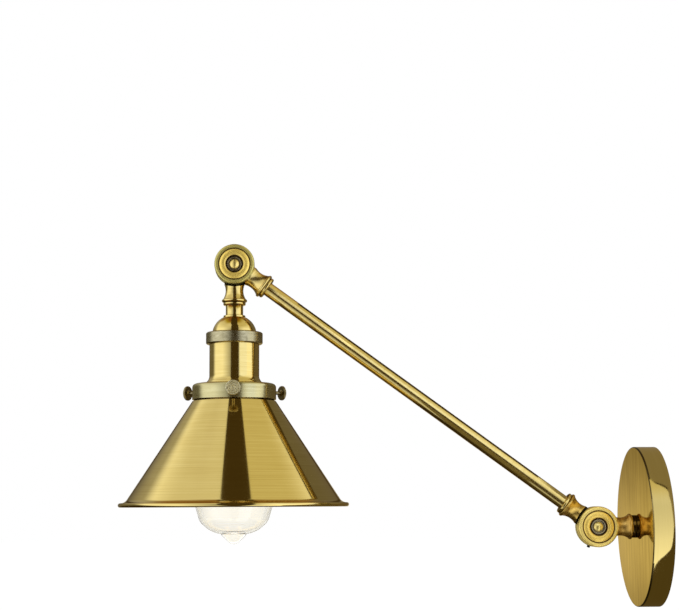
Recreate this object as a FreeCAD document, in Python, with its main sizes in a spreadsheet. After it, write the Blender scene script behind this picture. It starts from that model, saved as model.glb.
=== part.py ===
import FreeCAD, Part
import math
import os
import Sketcher

os.makedirs("parts", exist_ok=True)

V = FreeCAD.Vector
doc = FreeCAD.newDocument("WallLamp")
sheet = doc.addObject("Spreadsheet::Sheet", "Dims")


# ---------------------------------------------------------------- dimensions
class Q:
    """A number together with the expression text that gives it."""

    def __init__(self, v, e):
        self.v = float(v)
        self.e = e

    def __add__(self, o):
        o = q(o)
        return Q(self.v + o.v, "(%s + %s)" % (self.e, o.e))

    def __radd__(self, o):
        return q(o) + self

    def __sub__(self, o):
        o = q(o)
        return Q(self.v - o.v, "(%s - %s)" % (self.e, o.e))

    def __rsub__(self, o):
        return q(o) - self

    def __mul__(self, o):
        o = q(o)
        return Q(self.v * o.v, "(%s * %s)" % (self.e, o.e))

    def __rmul__(self, o):
        return q(o) * self

    def __truediv__(self, o):
        o = q(o)
        return Q(self.v / o.v, "(%s / %s)" % (self.e, o.e))

    def __neg__(self):
        return Q(-self.v, "(0 - %s)" % self.e)


def q(x):
    if isinstance(x, Q):
        return x
    return Q(x, "%.6f" % float(x) if x >= 0 else "(0 - %.6f)" % -float(x))


def cosd(a):
    return Q(math.cos(math.radians(a.v)), "cos(%s * 1 deg)" % a.e)


def sind(a):
    return Q(math.sin(math.radians(a.v)), "sin(%s * 1 deg)" % a.e)


row = [0]


def cell(name, value):
    row[0] += 1
    sheet.set("A%d" % row[0], name)
    sheet.set("B%d" % row[0], "%g" % value)
    sheet.setAlias("B%d" % row[0], name)
    return Q(value, "Dims.%s" % name)


canopy_dia = cell("canopy_dia", 127)
canopy_depth = cell("canopy_depth", 17)
canopy_wall = cell("canopy_wall", 1.2)
canopy_edge = cell("canopy_edge", 0.8)
neck_len = cell("neck_len", 30.5)
arm_len = cell("arm_len", 359.5)
arm_angle = cell("arm_angle", 36.1)
rod_dia = cell("rod_dia", 11.2)
rod_wall = cell("rod_wall", 1)
strap_thick = cell("strap_thick", 1.8)
strap_width = cell("strap_width", 24)
strap_half = cell("strap_half", 54.5)
slot_spacing = cell("slot_spacing", 76)
slot_length = cell("slot_length", 18)
slot_width = cell("slot_width", 4.8)
ear_reach = cell("ear_reach", 13)
ear_screw_at = cell("ear_screw_at", 8.5)
canopy_screw_dia = cell("canopy_screw_dia", 3.9)
nipple_dia = cell("nipple_dia", 10)
nipple_bore = cell("nipple_bore", 6.4)
nut_across = cell("nut_across", 14)
disc_radius = cell("disc_radius", 16.2)
disc_face = cell("disc_face", 8.3)
half_gap = cell("half_gap", 0.25)
disc_groove = cell("disc_groove", 12.6)
recess_radius = cell("recess_radius", 7)
recess_floor = cell("recess_floor", 5.2)
pivot_dia = cell("pivot_dia", 5)
pivot_play = cell("pivot_play", 0.05)
hub_radius = cell("hub_radius", 5.2)
chamber_radius = cell("chamber_radius", 9.3)
chamber_depth = cell("chamber_depth", 3.2)
wire_way = cell("wire_way", 3)
stub_root = cell("stub_root", 8.15)
neck_root = cell("neck_root", 7.4)
stub_flange = cell("stub_flange", 10.15)
stub_end = cell("stub_end", 30.6)
neck_end = cell("neck_end", 27.6)
ring_radius = cell("ring_radius", 9)
ring_end = cell("ring_end", 33.2)
seat_depth = cell("seat_depth", 9.4)
lap_clear = cell("lap_clear", 2.1)
stop_radius = cell("stop_radius", 13.3)
stop_pin_dia = cell("stop_pin_dia", 2.4)
stop_play = cell("stop_play", 0.15)
stop_angle = cell("stop_angle", 35)
wall_swing = cell("wall_swing", 180)
head_swing = cell("head_swing", 240)
friction_in = cell("friction_in", 9.6)
friction_out = cell("friction_out", 11.6)
grub_dia = cell("grub_dia", 2.5)
grub_angle = cell("grub_angle", -104.1)
grub_reach = cell("grub_reach", 17.8)
wire_dia = cell("wire_dia", 1.9)
wire_side = cell("wire_side", 1.0)
wire_off = cell("wire_off", 1.35)
stem_dia = cell("stem_dia", 14)
stem_end = cell("stem_end", 41.4)
cap_top_dia = cell("cap_top_dia", 17.6)
cap_dia = cell("cap_dia", 35.6)
cap_shoulder = cell("cap_shoulder", 55.4)
cap_thick = cell("cap_thick", 1.2)
knurl_dia = cell("knurl_dia", 45.6)
knurl_top = cell("knurl_top", 55.2)
knurl_end = cell("knurl_end", 64.6)
cup_dia = cell("cup_dia", 40)
cup_top = cell("cup_top", 59)
cup_flare_at = cell("cup_flare_at", 90.6)
cup_flare_dia = cell("cup_flare_dia", 43.5)
cup_wall = cell("cup_wall", 0.9)
fitter_dia = cell("fitter_dia", 67.2)
fitter_top = cell("fitter_top", 96.6)
fitter_end = cell("fitter_end", 109.4)
fitter_wall = cell("fitter_wall", 1.2)
fitter_edge = cell("fitter_edge", 3)
fitter_hole = cell("fitter_hole", 17)
thumb_at = cell("thumb_at", 102.5)
thumb_shank = cell("thumb_shank", 3)
thumb_head = cell("thumb_head", 11.8)
thumb_face = cell("thumb_face", 45.3)
neck_ring_radius = cell("neck_ring_radius", 28.4)
shade_wall = cell("shade_wall", 0.9)
shade_top_radius = cell("shade_top_radius", 33.5)
shade_top = cell("shade_top", 110.6)
shade_slope = cell("shade_slope", 0.6546)
shade_crease = cell("shade_crease", 188.6)
lip_radius = cell("lip_radius", 91.6)
lip_bead = cell("lip_bead", 1.7)
lip_mid = cell("lip_mid", 192.9)
core_radius = cell("core_radius", 18.4)
core_top = cell("core_top", 64)
core_floor = cell("core_floor", 78.5)
core_end = cell("core_end", 107.6)
screw_shell_radius = cell("screw_shell_radius", 13.5)
bulb_radius = cell("bulb_radius", 32)
bulb_wide_at = cell("bulb_wide_at", 184)
bulb_base = cell("bulb_base", 80)
bulb_tip = cell("bulb_tip", 223.6)
bulb_wall = cell("bulb_wall", 0.9)
stick_circle = cell("stick_circle", 7)
doc.recompute()

# joint centres
wall_x = -(canopy_depth + neck_len)
head_x = wall_x - arm_len * cosd(arm_angle)
head_z = arm_len * sind(arm_angle)
ang = math.radians(arm_angle.v)
ARM = V(-math.cos(ang), 0, math.sin(ang))


# ------------------------------------------------------------------- helpers
def rot(xdir, zdir):
    x = V(xdir)
    z = V(zdir)
    return FreeCAD.Rotation(x, z.cross(x), z, "ZXY")


WALL = ((q(0), q(0), q(0)), rot((0, 0, 1), (-1, 0, 0)))
HEAD = ((head_x, q(0), head_z), rot((1, 0, 0), (0, 0, -1)))
ARMF = ((wall_x, q(0), q(0)), rot((math.sin(ang), 0, math.cos(ang)), ARM))
NECK_K = ((wall_x, q(0), q(0)), rot((1, 0, 0), (0, -1, 0)))
LOW_K = ((wall_x, q(0), q(0)), rot(ARM, (0, 1, 0)))
UP_K = ((head_x, q(0), head_z), rot(-ARM, (0, -1, 0)))
HEAD_K = ((head_x, q(0), head_z), rot((0, 0, -1), (0, 1, 0)))


def put(obj, frame):
    base, r = frame
    obj.Placement = FreeCAD.Placement(V(base[0].v, base[1].v, base[2].v), r)
    for axis, value in zip("xyz", base):
        if "Dims." in value.e:
            obj.setExpression("Placement.Base.%s" % axis, value.e)


def new_body(label):
    b = doc.addObject("PartDesign::Body", "Body_" + label)
    b.Label = label
    return b


def origin_plane(body, role):
    for f in body.Origin.OriginFeatures:
        if f.Role == role:
            return f


def new_sketch(body, role, shift=None):
    sk = body.newObject("Sketcher::SketchObject", "Sketch")
    sk.AttachmentSupport = (origin_plane(body, role), [""])
    sk.MapMode = "FlatFace"
    if shift is not None:
        sk.AttachmentOffset = shift
    return sk


def outline(sk, verts):
    """Closed outline. A vertex is (x, y), or (x, y, radius, side) when the
    segment that leaves it is an arc: side +1 has its centre on the left."""
    n = len(verts)
    pts = [(q(v[0]), q(v[1])) for v in verts]
    starts = []
    ends = []
    first = sk.GeometryCount
    for i, v in enumerate(verts):
        a = pts[i]
        b = pts[(i + 1) % n]
        pa = V(a[0].v, a[1].v, 0)
        pb = V(b[0].v, b[1].v, 0)
        if len(v) == 2:
            sk.addGeometry(Part.LineSegment(pa, pb), False)
            starts.append(1)
            ends.append(2)
        else:
            radius = q(v[2]).v
            chord = pb - pa
            half = chord.Length / 2.0
            rise = math.sqrt(max(radius * radius - half * half, 0.0))
            left = V(-chord.y, chord.x, 0)
            left.normalize()
            mid = (pa + pb) * 0.5
            centre = mid + left * (rise * v[3])
            a0 = math.atan2(pa.y - centre.y, pa.x - centre.x)
            a1 = math.atan2(pb.y - centre.y, pb.x - centre.x)
            if v[3] < 0:
                a0, a1 = a1, a0
            if a1 < a0:
                a1 += 2 * math.pi
            circle = Part.Circle(centre, V(0, 0, 1), radius)
            sk.addGeometry(Part.ArcOfCircle(circle, a0, a1), False)
            starts.append(1 if v[3] > 0 else 2)
            ends.append(2 if v[3] > 0 else 1)
    for i in range(n):
        j = (i + 1) % n
        sk.addConstraint(Sketcher.Constraint(
            "Coincident", first + i, ends[i], first + j, starts[j]))
    for i in range(n):
        x, y = pts[i]
        g = first + i
        p = starts[i]
        if abs(x.v) < 1e-9:
            sk.addConstraint(Sketcher.Constraint("PointOnObject", g, p, -2))
        else:
            c = sk.addConstraint(Sketcher.Constraint("DistanceX", -1, 1, g, p, x.v))
            if "Dims." in x.e:
                sk.setExpression("Constraints[%d]" % c, x.e)
        if abs(y.v) < 1e-9:
            sk.addConstraint(Sketcher.Constraint("PointOnObject", g, p, -1))
        else:
            c = sk.addConstraint(Sketcher.Constraint("DistanceY", -1, 1, g, p, y.v))
            if "Dims." in y.e:
                sk.setExpression("Constraints[%d]" % c, y.e)
        if len(verts[i]) > 2:
            radius = q(verts[i][2])
            c = sk.addConstraint(Sketcher.Constraint("Radius", g, radius.v))
            if "Dims." in radius.e:
                sk.setExpression("Constraints[%d]" % c, radius.e)


def ring_outline(sk, x, y, radius):
    x = q(x)
    y = q(y)
    radius = q(radius)
    g = sk.addGeometry(Part.Circle(V(x.v, y.v, 0), V(0, 0, 1), radius.v), False)
    for kind, value, axis in (("DistanceX", x, -2), ("DistanceY", y, -1)):
        if abs(value.v) < 1e-9:
            sk.addConstraint(Sketcher.Constraint("PointOnObject", g, 3, axis))
        else:
            c = sk.addConstraint(Sketcher.Constraint(kind, -1, 1, g, 3, value.v))
            if "Dims." in value.e:
                sk.setExpression("Constraints[%d]" % c, value.e)
    c = sk.addConstraint(Sketcher.Constraint("Radius", g, radius.v))
    if "Dims." in radius.e:
        sk.setExpression("Constraints[%d]" % c, radius.e)


def turn(body, verts, axis="V_Axis"):
    sk = new_sketch(body, "XZ_Plane")
    outline(sk, verts)
    f = body.newObject("PartDesign::Revolution", "Revolution")
    f.Profile = sk
    f.ReferenceAxis = (sk, [axis])
    f.Angle = 360
    body.Tip = f
    return f


def cut_turn(body, verts, axis="V_Axis", angle=None, at=None):
    shift = None
    if at is not None:
        shift = FreeCAD.Placement(V(0, 0, 0), FreeCAD.Rotation(V(0, 1, 0), at.v))
    sk = new_sketch(body, "XZ_Plane", shift)
    outline(sk, verts)
    f = body.newObject("PartDesign::Groove", "Groove")
    f.Profile = sk
    f.ReferenceAxis = (sk, [axis])
    if angle is None:
        f.Angle = 360
    else:
        f.Angle = angle.v
        f.setExpression("Angle", angle.e)
        f.Midplane = True
    body.Tip = f
    return f


def length(f, value):
    value = q(value)
    f.Length = value.v
    if "Dims." in value.e:
        f.setExpression("Length", value.e)


def lathe(label, frame, verts, axis="V_Axis"):
    b = new_body(label)
    turn(b, verts, axis)
    put(b, frame)
    return b


def tube(label, frame, r_in, r_out, z0, z1):
    return lathe(label, frame, [(r_in, z0), (r_out, z0), (r_out, z1), (r_in, z1)])


def cut_ring(body, role, circles, depth, symmetric=False, reverse=False, height=None):
    shift = None
    if height is not None:
        shift = FreeCAD.Placement(V(0, 0, q(height).v), FreeCAD.Rotation())
    sk = new_sketch(body, role, shift)
    if height is not None and "Dims." in q(height).e:
        sk.setExpression("AttachmentOffset.Base.z", q(height).e)
    for c in circles:
        ring_outline(sk, *c)
    f = body.newObject("PartDesign::Pocket", "Pocket")
    f.Profile = sk
    length(f, depth)
    if symmetric:
        f.SideType = "Symmetric"
    f.Reversed = reverse
    body.Tip = f
    return f


def hex_pad(body, across, z0, height):
    across = q(across)
    sk = new_sketch(body, "XY_Plane", FreeCAD.Placement(V(0, 0, q(z0).v), FreeCAD.Rotation()))
    side = across / math.sqrt(3.0)
    verts = []
    for k in range(6):
        a = math.radians(30 + 60 * k)
        verts.append((side * math.cos(a), side * math.sin(a)) if abs(math.cos(a)) > 1e-9
                     else (0, side * math.sin(a)))
    outline(sk, verts)
    f = body.newObject("PartDesign::Pad", "Pad")
    f.Profile = sk
    length(f, height)
    body.Tip = f
    return f


def cut_rod(body, dia, z_len, base, direction):
    dia = q(dia)
    f = body.newObject("PartDesign::SubtractiveCylinder", "Bore")
    f.Radius = dia.v / 2
    if "Dims." in dia.e:
        f.setExpression("Radius", (dia / 2).e)
    f.Height = z_len
    f.Placement = FreeCAD.Placement(V(*base), FreeCAD.Rotation(V(0, 0, 1), V(*direction)))
    body.Tip = f
    return f


def rod(name, dia, base, end):
    dia = q(dia)
    o = doc.addObject("Part::Cylinder", name)
    p0 = V(*base)
    p1 = V(*end)
    o.Radius = dia.v / 2
    if "Dims." in dia.e:
        o.setExpression("Radius", (dia / 2).e)
    o.Height = (p1 - p0).Length
    o.Placement = FreeCAD.Placement(p0, FreeCAD.Rotation(V(0, 0, 1), p1 - p0))
    return o


def group(label, frame, members):
    o = doc.addObject("Part::Compound", "Group_" + label)
    o.Links = members
    o.Label = label
    put(o, frame)
    return o


parts = []


def keep(o):
    parts.append(o)
    return o


# ------------------------------------------------------------------ wall base
R = canopy_dia / 2
nip_r = nipple_dia / 2
b = new_body("canopy_cover")
turn(b, [
    (R, 0),
    (R, canopy_depth - canopy_edge, canopy_edge, 1),
    (R - canopy_edge, canopy_depth),
    (nip_r + 0.3, canopy_depth),
    (nip_r + 0.3, canopy_depth - canopy_wall),
    (R - canopy_wall, canopy_depth - canopy_wall),
    (R - canopy_wall, 0),
])
cut_ring(b, "YZ_Plane", [(0, ear_screw_at, canopy_screw_dia / 2 + 0.1)], canopy_dia + 10, symmetric=True)
put(b, WALL)
keep(b)

b = new_body("mounting_strap")
sk = new_sketch(b, "XZ_Plane")
t = strap_thick
H = strap_half
bend = 2.5
outline(sk, [
    (-H, ear_reach),
    (-H, bend, bend, 1),
    (-H + bend, 0),
    (H - bend, 0, bend, 1),
    (H, bend),
    (H, ear_reach),
    (H - t, ear_reach),
    (H - t, bend, q(bend) - t, -1),
    (H - bend, t),
    (-H + bend, t, q(bend) - t, -1),
    (-H + t, bend),
    (-H + t, ear_reach),
])
f = b.newObject("PartDesign::Pad", "Pad")
f.Profile = sk
length(f, strap_width)
f.SideType = "Symmetric"
b.Tip = f
s2 = slot_spacing / 2
e2 = slot_length / 2 - slot_width / 2
w2 = slot_width / 2
cut_ring(b, "XY_Plane", [(s2 - e2, 0, w2), (s2 + e2, 0, w2), (-s2 - e2, 0, w2), (-s2 + e2, 0, w2),
                         (0, 0, 7.5), (-22, 0, 2.05)], 5, symmetric=True)
sk = new_sketch(b, "XY_Plane")
for sgn in (1, -1):
    outline(sk, [(s2 * sgn - e2, -w2), (s2 * sgn + e2, -w2), (s2 * sgn + e2, w2), (s2 * sgn - e2, w2)])
f = b.newObject("PartDesign::Pocket", "Pocket")
f.Profile = sk
length(f, 5)
f.SideType = "Symmetric"
b.Tip = f
cut_ring(b, "YZ_Plane", [(0, ear_screw_at, canopy_screw_dia / 2 + 0.05)], canopy_dia, symmetric=True)
put(b, WALL)
keep(b)

screws = []
for k, sgn in enumerate((1, -1)):
    s = new_body("canopy_screw_part_%d" % k)
    sr = canopy_screw_dia / 2
    turn(s, [(0, R - 13), (sr - 0.5, R - 13), (sr, R - 12.5), (sr, R - 0.7), (sr - 0.4, R - 0.3), (0, R - 0.3)])
    sk = new_sketch(s, "YZ_Plane")
    outline(sk, [(-0.4, R - 1.6), (0.4, R - 1.6), (0.4, R + 1), (-0.4, R + 1)])
    f = s.newObject("PartDesign::Pocket", "Slot")
    f.Profile = sk
    length(f, 6)
    f.SideType = "Symmetric"
    s.Tip = f
    s.Placement = FreeCAD.Placement(V(0, 0, ear_screw_at.v), FreeCAD.Rotation(V(0, 0, 1), V(sgn, 0, 0)))
    s.setExpression("Placement.Base.z", ear_screw_at.e)
    screws.append(s)
keep(group("canopy_screws", WALL, screws))

g = lathe("ground_screw", WALL, [
    (0, 0.1), (1.95, 0.1), (1.95, strap_thick + 0.03), (3.6, strap_thick + 0.03),
    (3.6, strap_thick + 1.2, 4.2, 1), (1.6, strap_thick + 2.6), (0, strap_thick + 2.6)])
g.Placement = FreeCAD.Placement(V(0, 0, -22), g.Placement.Rotation)
keep(g)

neck_seat = neck_end - seat_depth
joint_z = canopy_depth + neck_len
keep(tube("canopy_nipple", WALL, nipple_bore / 2, nip_r, 8, joint_z - neck_seat - 0.2))
keep(tube("lock_washer", WALL, nip_r + 0.25, 10, canopy_depth - canopy_wall - 0.85, canopy_depth - canopy_wall - 0.05))
b = new_body("canopy_nut")
hex_pad(b, nut_across, 10.4, 4.5)
cut_ring(b, "XY_Plane", [(0, 0, nip_r + 0.02)], 60, symmetric=True)
put(b, WALL)
keep(b)
rr = ring_radius
keep(lathe("neck_ring", NECK_K, [
    (neck_end + 0.05, nip_r + 0.03), (neck_len - 0.05, nip_r + 0.03), (neck_len - 0.05, rr - 0.5, 0.5, 1),
    (neck_len - 0.55, rr), (neck_end + 0.55, rr, 0.5, 1), (neck_end + 0.05, rr - 0.5)], "H_Axis"))


# ------------------------------------------------------------------- knuckles
def knuckle(label, frame, end, root, curve, lap, bore, slot=None, grub=False):
    b = new_body(label)
    pr = pivot_dia / 2 + pivot_play
    F = disc_face
    turn(b, [
        (pr, half_gap),
        (disc_radius, half_gap),
        (disc_radius, F - 1.8, 1.8, 1),
        (disc_radius - 1.8, F),
        (disc_groove + 0.5, F),
        (disc_groove + 0.25, F - 0.9),
        (disc_groove - 0.25, F - 0.9),
        (disc_groove - 0.5, F - 0.3, 5, 1),
        (recess_radius + 0.5, F + 0.2),
        (recess_radius, F - 0.2),
        (recess_radius, recess_floor),
        (pr, recess_floor),
    ])
    turn(b, [
        (9.5, 0),
        (end, 0),
        (end, stub_flange - 0.85),
        (end - 0.35, stub_flange - 0.3),
        (end - 0.9, stub_flange),
        (end - 1.6, stub_flange),
        (end - 2.15, stub_flange - 0.3),
        (end - 2.5, stub_flange - 0.85, curve, -1),
        (16.3, root),
        (9.5, root - 0.1),
    ], "H_Axis")
    cut_ring(b, "XY_Plane", [(0, 0, lap)], 15, height=half_gap)
    cut_turn(b, [(hub_radius, -1), (chamber_radius, -1), (chamber_radius, chamber_depth), (hub_radius, chamber_depth)])
    seat = end - seat_depth
    cut_turn(b, [(7.2, 0), (end + 1, 0), (end + 1, bore + 0.03), (seat, bore + 0.03), (seat, wire_way), (7.2, wire_way)],
             "H_Axis")
    if slot is not None:
        mid, span = slot
        half = stop_pin_dia / 2 + stop_play
        cut_turn(b, [(stop_radius - half, -1), (stop_radius + half, -1), (stop_radius + half, 2.6), (stop_radius - half, 2.6)],
                 angle=span, at=mid)
    else:
        cut_ring(b, "XY_Plane", [(stop_radius * cosd(stop_angle), stop_radius * sind(stop_angle), stop_pin_dia / 2 + 0.02)],
                 4.2, reverse=True)
    if grub:
        a = math.radians(grub_angle.v)
        d = V(math.cos(a), math.sin(a), 0)
        cut_rod(b, grub_dia + 0.04, 10, (d.x * 10.5, d.y * 10.5, 4.4), (d.x, d.y, 0))
    put(b, frame)
    return b


pin_turn = 2 * math.degrees(math.asin(stop_pin_dia.v / 2 / stop_radius.v)) + 0.8
lap_r = disc_radius + lap_clear
wall_mid = q(180) - stop_angle
head_mid = q(270) - head_swing / 2 + arm_angle - stop_angle
keep(knuckle("neck_knuckle", NECK_K, neck_end, neck_root, 11, lap_r, nip_r, slot=(wall_mid, wall_swing + pin_turn)))
rod_r = rod_dia / 2
keep(knuckle("arm_knuckle_lower", LOW_K, stub_end, stub_root, 12.2, lap_r, rod_r, grub=True))
keep(knuckle("arm_knuckle_upper", UP_K, stub_end, stub_root, 12.2, lap_r, rod_r, slot=(head_mid, head_swing + pin_turn)))
keep(knuckle("head_knuckle", HEAD_K, stub_end, stub_root, 12.2, lap_r, nip_r))

for name, front, rear in (("wall", NECK_K, LOW_K), ("head", UP_K, HEAD_K)):
    p = pivot_dia / 2
    keep(lathe(name + "_pivot_bolt", front, [
        (0, -9.2), (p, -9.2), (p, recess_floor + 0.85), (4, recess_floor + 0.85), (4, recess_floor + 1.8, 5.6, 1),
        (0.4, recess_floor + 3.5), (0, recess_floor + 3.5)]))
    keep(lathe(name + "_cup_washer", front, [
        (p + 0.1, recess_floor + 0.04), (6, recess_floor + 0.04), (6, recess_floor + 2.3), (5.7, recess_floor + 2.6),
        (5.2, recess_floor + 2.6), (4.9, recess_floor + 2.3), (4.9, recess_floor + 0.8), (p + 0.1, recess_floor + 0.8)]))
    keep(tube(name + "_friction_ring", front, friction_in, friction_out, -0.2, 0.2))
    keep(tube(name + "_flat_washer", rear, p + 0.1, 6.4, recess_floor + 0.05, recess_floor + 0.8))
    keep(lathe(name + "_spring_washer", rear, [
        (p + 0.15, recess_floor + 1.5), (5.4, recess_floor + 0.85), (5.4, recess_floor + 1.35), (p + 0.15, recess_floor + 2.0)]))
    b = new_body(name + "_cap_nut")
    hex_pad(b, 8, recess_floor.v + 2.05, 2.75)
    turn(b, [(0, recess_floor + 3), (3.9, recess_floor + 3), (3.9, recess_floor + 4.9, 4.2, 1), (0.4, recess_floor + 7), (0, recess_floor + 7)])
    cut_turn(b, [(0, recess_floor + 1), (p + 0.02, recess_floor + 1), (p + 0.02, recess_floor + 4.6), (0, recess_floor + 5.4)])
    put(b, rear)
    keep(b)
    pin = new_body(name + "_stop_pin")
    sk = new_sketch(pin, "XY_Plane", FreeCAD.Placement(V(0, 0, -1.9), FreeCAD.Rotation()))
    ring_outline(sk, stop_radius * cosd(stop_angle), stop_radius * sind(stop_angle), stop_pin_dia / 2)
    f = pin.newObject("PartDesign::Pad", "Pad")
    f.Profile = sk
    length(f, 6)
    pin.Tip = f
    put(pin, rear)
    keep(pin)

ga = math.radians(grub_angle.v)
g = lathe("wall_grub_screw", LOW_K, [
    (0, 10.7), (grub_dia / 2 - 0.4, 10.7), (grub_dia / 2, 11.1), (grub_dia / 2, grub_reach - 0.3),
    (grub_dia / 2 - 0.3, grub_reach), (0.65, grub_reach), (0.65, grub_reach - 1.2), (0, grub_reach - 1.2)])
local = FreeCAD.Placement(V(0, 0, 4.4), FreeCAD.Rotation(V(0, 0, 1), V(math.cos(ga), math.sin(ga), 0)))
base, r = LOW_K
g.Placement = FreeCAD.Placement(V(base[0].v, 0, 0), r).multiply(local)
keep(g)

# ------------------------------------------------------------------------ arm
seat = stub_end - seat_depth
keep(tube("arm_tube", ARMF, rod_r - rod_wall, rod_r, seat + 0.2, arm_len - seat - 0.2))


def collar(label, frame, z0, z1, bore):
    return lathe(label, frame, [
        (bore + 0.03, z0), (rr - 0.5, z0, 0.5, 1), (rr, z0 + 0.5), (rr, z1 - 0.5, 0.5, 1), (rr - 0.5, z1), (bore + 0.03, z1)])


keep(collar("arm_ring_lower", ARMF, stub_end + 0.05, ring_end, rod_r))
keep(collar("arm_ring_upper", ARMF, arm_len - ring_end, arm_len - stub_end - 0.05, rod_r))

ws = wire_side.v
wo = wire_off.v
L = arm_len.v
keep(group("arm_leads", ARMF, [
    rod("ArmLead%d" % k, wire_dia, (s * ws, wo, 7.4), (s * ws, -wo, L - 7.4)) for k, s in enumerate((1, -1))]))
keep(group("supply_leads", NECK_K, [
    rod("SupplyLead%d" % k, wire_dia, (7.4, s * ws, wo), (joint_z.v - 5, s * ws, wo)) for k, s in enumerate((1, -1))]))

# ----------------------------------------------------------------------- head
keep(collar("stem_ring", HEAD, stub_end + 0.05, ring_end - 0.05, nip_r))
keep(tube("stem_tube", HEAD, nip_r + 0.2, stem_dia / 2, ring_end, stem_end))
keep(tube("head_nipple", HEAD, nipple_bore / 2, nip_r, seat + 0.2, stem_end + 6.2))
b = new_body("head_nut")
hex_pad(b, nut_across, 44.3, 4)
cut_ring(b, "XY_Plane", [(0, 0, nip_r + 0.02)], 120, symmetric=True)
put(b, HEAD)
keep(b)

cr = cap_dia / 2
dome = 16.06
keep(lathe("socket_cap", HEAD, [
    (nip_r + 0.2, stem_end), (cap_top_dia / 2, stem_end), (cap_top_dia / 2, stem_end + 1.6), (cr - 8.4, stem_end + 1.6, dome, 1),
    (cr, cap_shoulder), (cr, 57.9), (cr + 1.8, 57.9), (cr + 1.8, 58.9), (cr - cap_thick, 58.9),
    (cr - cap_thick, cap_shoulder, q(dome) - cap_thick, -1), (cr - 8.71, stem_end + 2.8), (nip_r + 0.2, stem_end + 2.8)]))
kr = knurl_dia / 2
keep(lathe("knurled_ring", HEAD, [
    (cr + 0.3, knurl_top), (kr - 0.8, knurl_top), (kr, knurl_top + 0.8), (kr, knurl_end - 0.8), (kr - 0.8, knurl_end),
    (cup_dia / 2 + 0.2, knurl_end), (cup_dia / 2 + 0.2, 57.85), (cr + 0.3, 57.85)]))
cu = cup_dia / 2
cf = cup_flare_dia / 2
keep(lathe("socket_shell", HEAD, [
    (cu, cup_top), (cu, cup_flare_at, 6.5, -1), (cf, cup_flare_at + 4), (cf + 0.85, fitter_top - 0.05), (cf + 0.85 - cup_wall, fitter_top - 0.05),
    (cf - cup_wall, cup_flare_at + 4.2), (cu - cup_wall, cup_flare_at + 0.3), (cu - cup_wall, cup_top)]))

b = new_body("socket_core")
turn(b, [
    (0, core_top), (core_radius, core_top), (core_radius, 92.5), (16.4, 92.5), (16.4, core_end), (14.2, core_end),
    (14.2, core_floor), (0, core_floor)])
cut_ring(b, "XY_Plane", [(9, 0, 1.55), (-9, 0, 1.55)], 8, height=core_top + 8)
put(b, HEAD)
keep(b)
sr = screw_shell_radius
keep(lathe("screw_shell", HEAD, [
    (9, core_floor + 0.05), (sr + 0.4, core_floor + 0.05), (sr + 0.4, core_end - 0.8), (sr, core_end - 0.8),
    (sr, core_floor + 0.45), (9, core_floor + 0.45)]))
b = new_body("centre_contact")
sk = new_sketch(b, "XZ_Plane")
outline(sk, [
    (-6, core_floor + 0.05), (-2, core_floor + 0.05), (0.5, core_floor + 0.9), (3, core_floor + 0.9), (3, core_floor + 1.4),
    (0.2, core_floor + 1.4), (-2.2, core_floor + 0.55), (-6, core_floor + 0.55)])
f = b.newObject("PartDesign::Pad", "Pad")
f.Profile = sk
length(f, 5)
f.SideType = "Symmetric"
b.Tip = f
put(b, HEAD)
keep(b)
screws = []
for k, sgn in enumerate((1, -1)):
    s = new_body("terminal_screw_part_%d" % k)
    turn(s, [(0, core_top - 2.1), (2.2, core_top - 2.1), (2.8, core_top - 1.5), (2.8, core_top - 0.05), (1.5, core_top - 0.05),
             (1.5, core_top + 6), (0, core_top + 6)])
    s.Placement = FreeCAD.Placement(V(9 * sgn, 0, 0), FreeCAD.Rotation())
    screws.append(s)
keep(group("terminal_screws", HEAD, screws))

keep(lathe("clamp_ring", HEAD, [
    (16.5, fitter_top + fitter_wall + 0.05), (21, fitter_top + fitter_wall + 0.05), (21, fitter_top + 4.8),
    (20.2, fitter_top + 5.5), (16.5, fitter_top + 5.5)]))

fr = fitter_dia / 2
fw = fitter_wall
fe = fitter_edge
b = new_body("shade_fitter")
turn(b, [
    (fitter_hole, fitter_top), (fr - fe, fitter_top, fe, 1), (fr, fitter_top + fe), (fr, fitter_end), (fr - fw, fitter_end),
    (fr - fw, fitter_top + fe, fe - fw, -1), (fr - fe, fitter_top + fw), (fitter_hole, fitter_top + fw)])
hole = cut_ring(b, "XZ_Plane", [(0, thumb_at, thumb_shank / 2 + 0.05)], 40)
pat = b.newObject("PartDesign::PolarPattern", "Pattern")
pat.Originals = [hole]
pat.Axis = (hole.Profile[0], ["V_Axis"])
pat.Angle = 360
pat.Occurrences = 3
b.Tip = pat
put(b, HEAD)
keep(b)

nr = neck_ring_radius
sw = shade_wall
cone_end = shade_top_radius + (shade_crease - shade_top) * shade_slope
inset = 1.08
lr = lip_radius - lip_bead
keep(lathe("shade", HEAD, [
    (nr + 1.8, 98.6), (nr + 1.8, 99.5), (nr, 99.5), (nr, shade_top - 0.7), (nr + 0.8, shade_top - 0.1),
    (shade_top_radius - 0.4, shade_top - 0.1), (shade_top_radius, shade_top),
    (cone_end, shade_crease, 6.2, -1),
    (lr, lip_mid - lip_bead, lip_bead, 1), (lip_radius, lip_mid, lip_bead, 1), (lr, lip_mid + lip_bead, lip_bead, 1),
    (lr - lip_bead, lip_mid),
    (cone_end - inset + 0.5, shade_crease + 1.2), (cone_end - inset, shade_crease),
    (shade_top_radius - inset + 0.6, shade_top + 0.9), (nr - sw, shade_top + 0.8), (nr - sw, 98.6)]))

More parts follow.
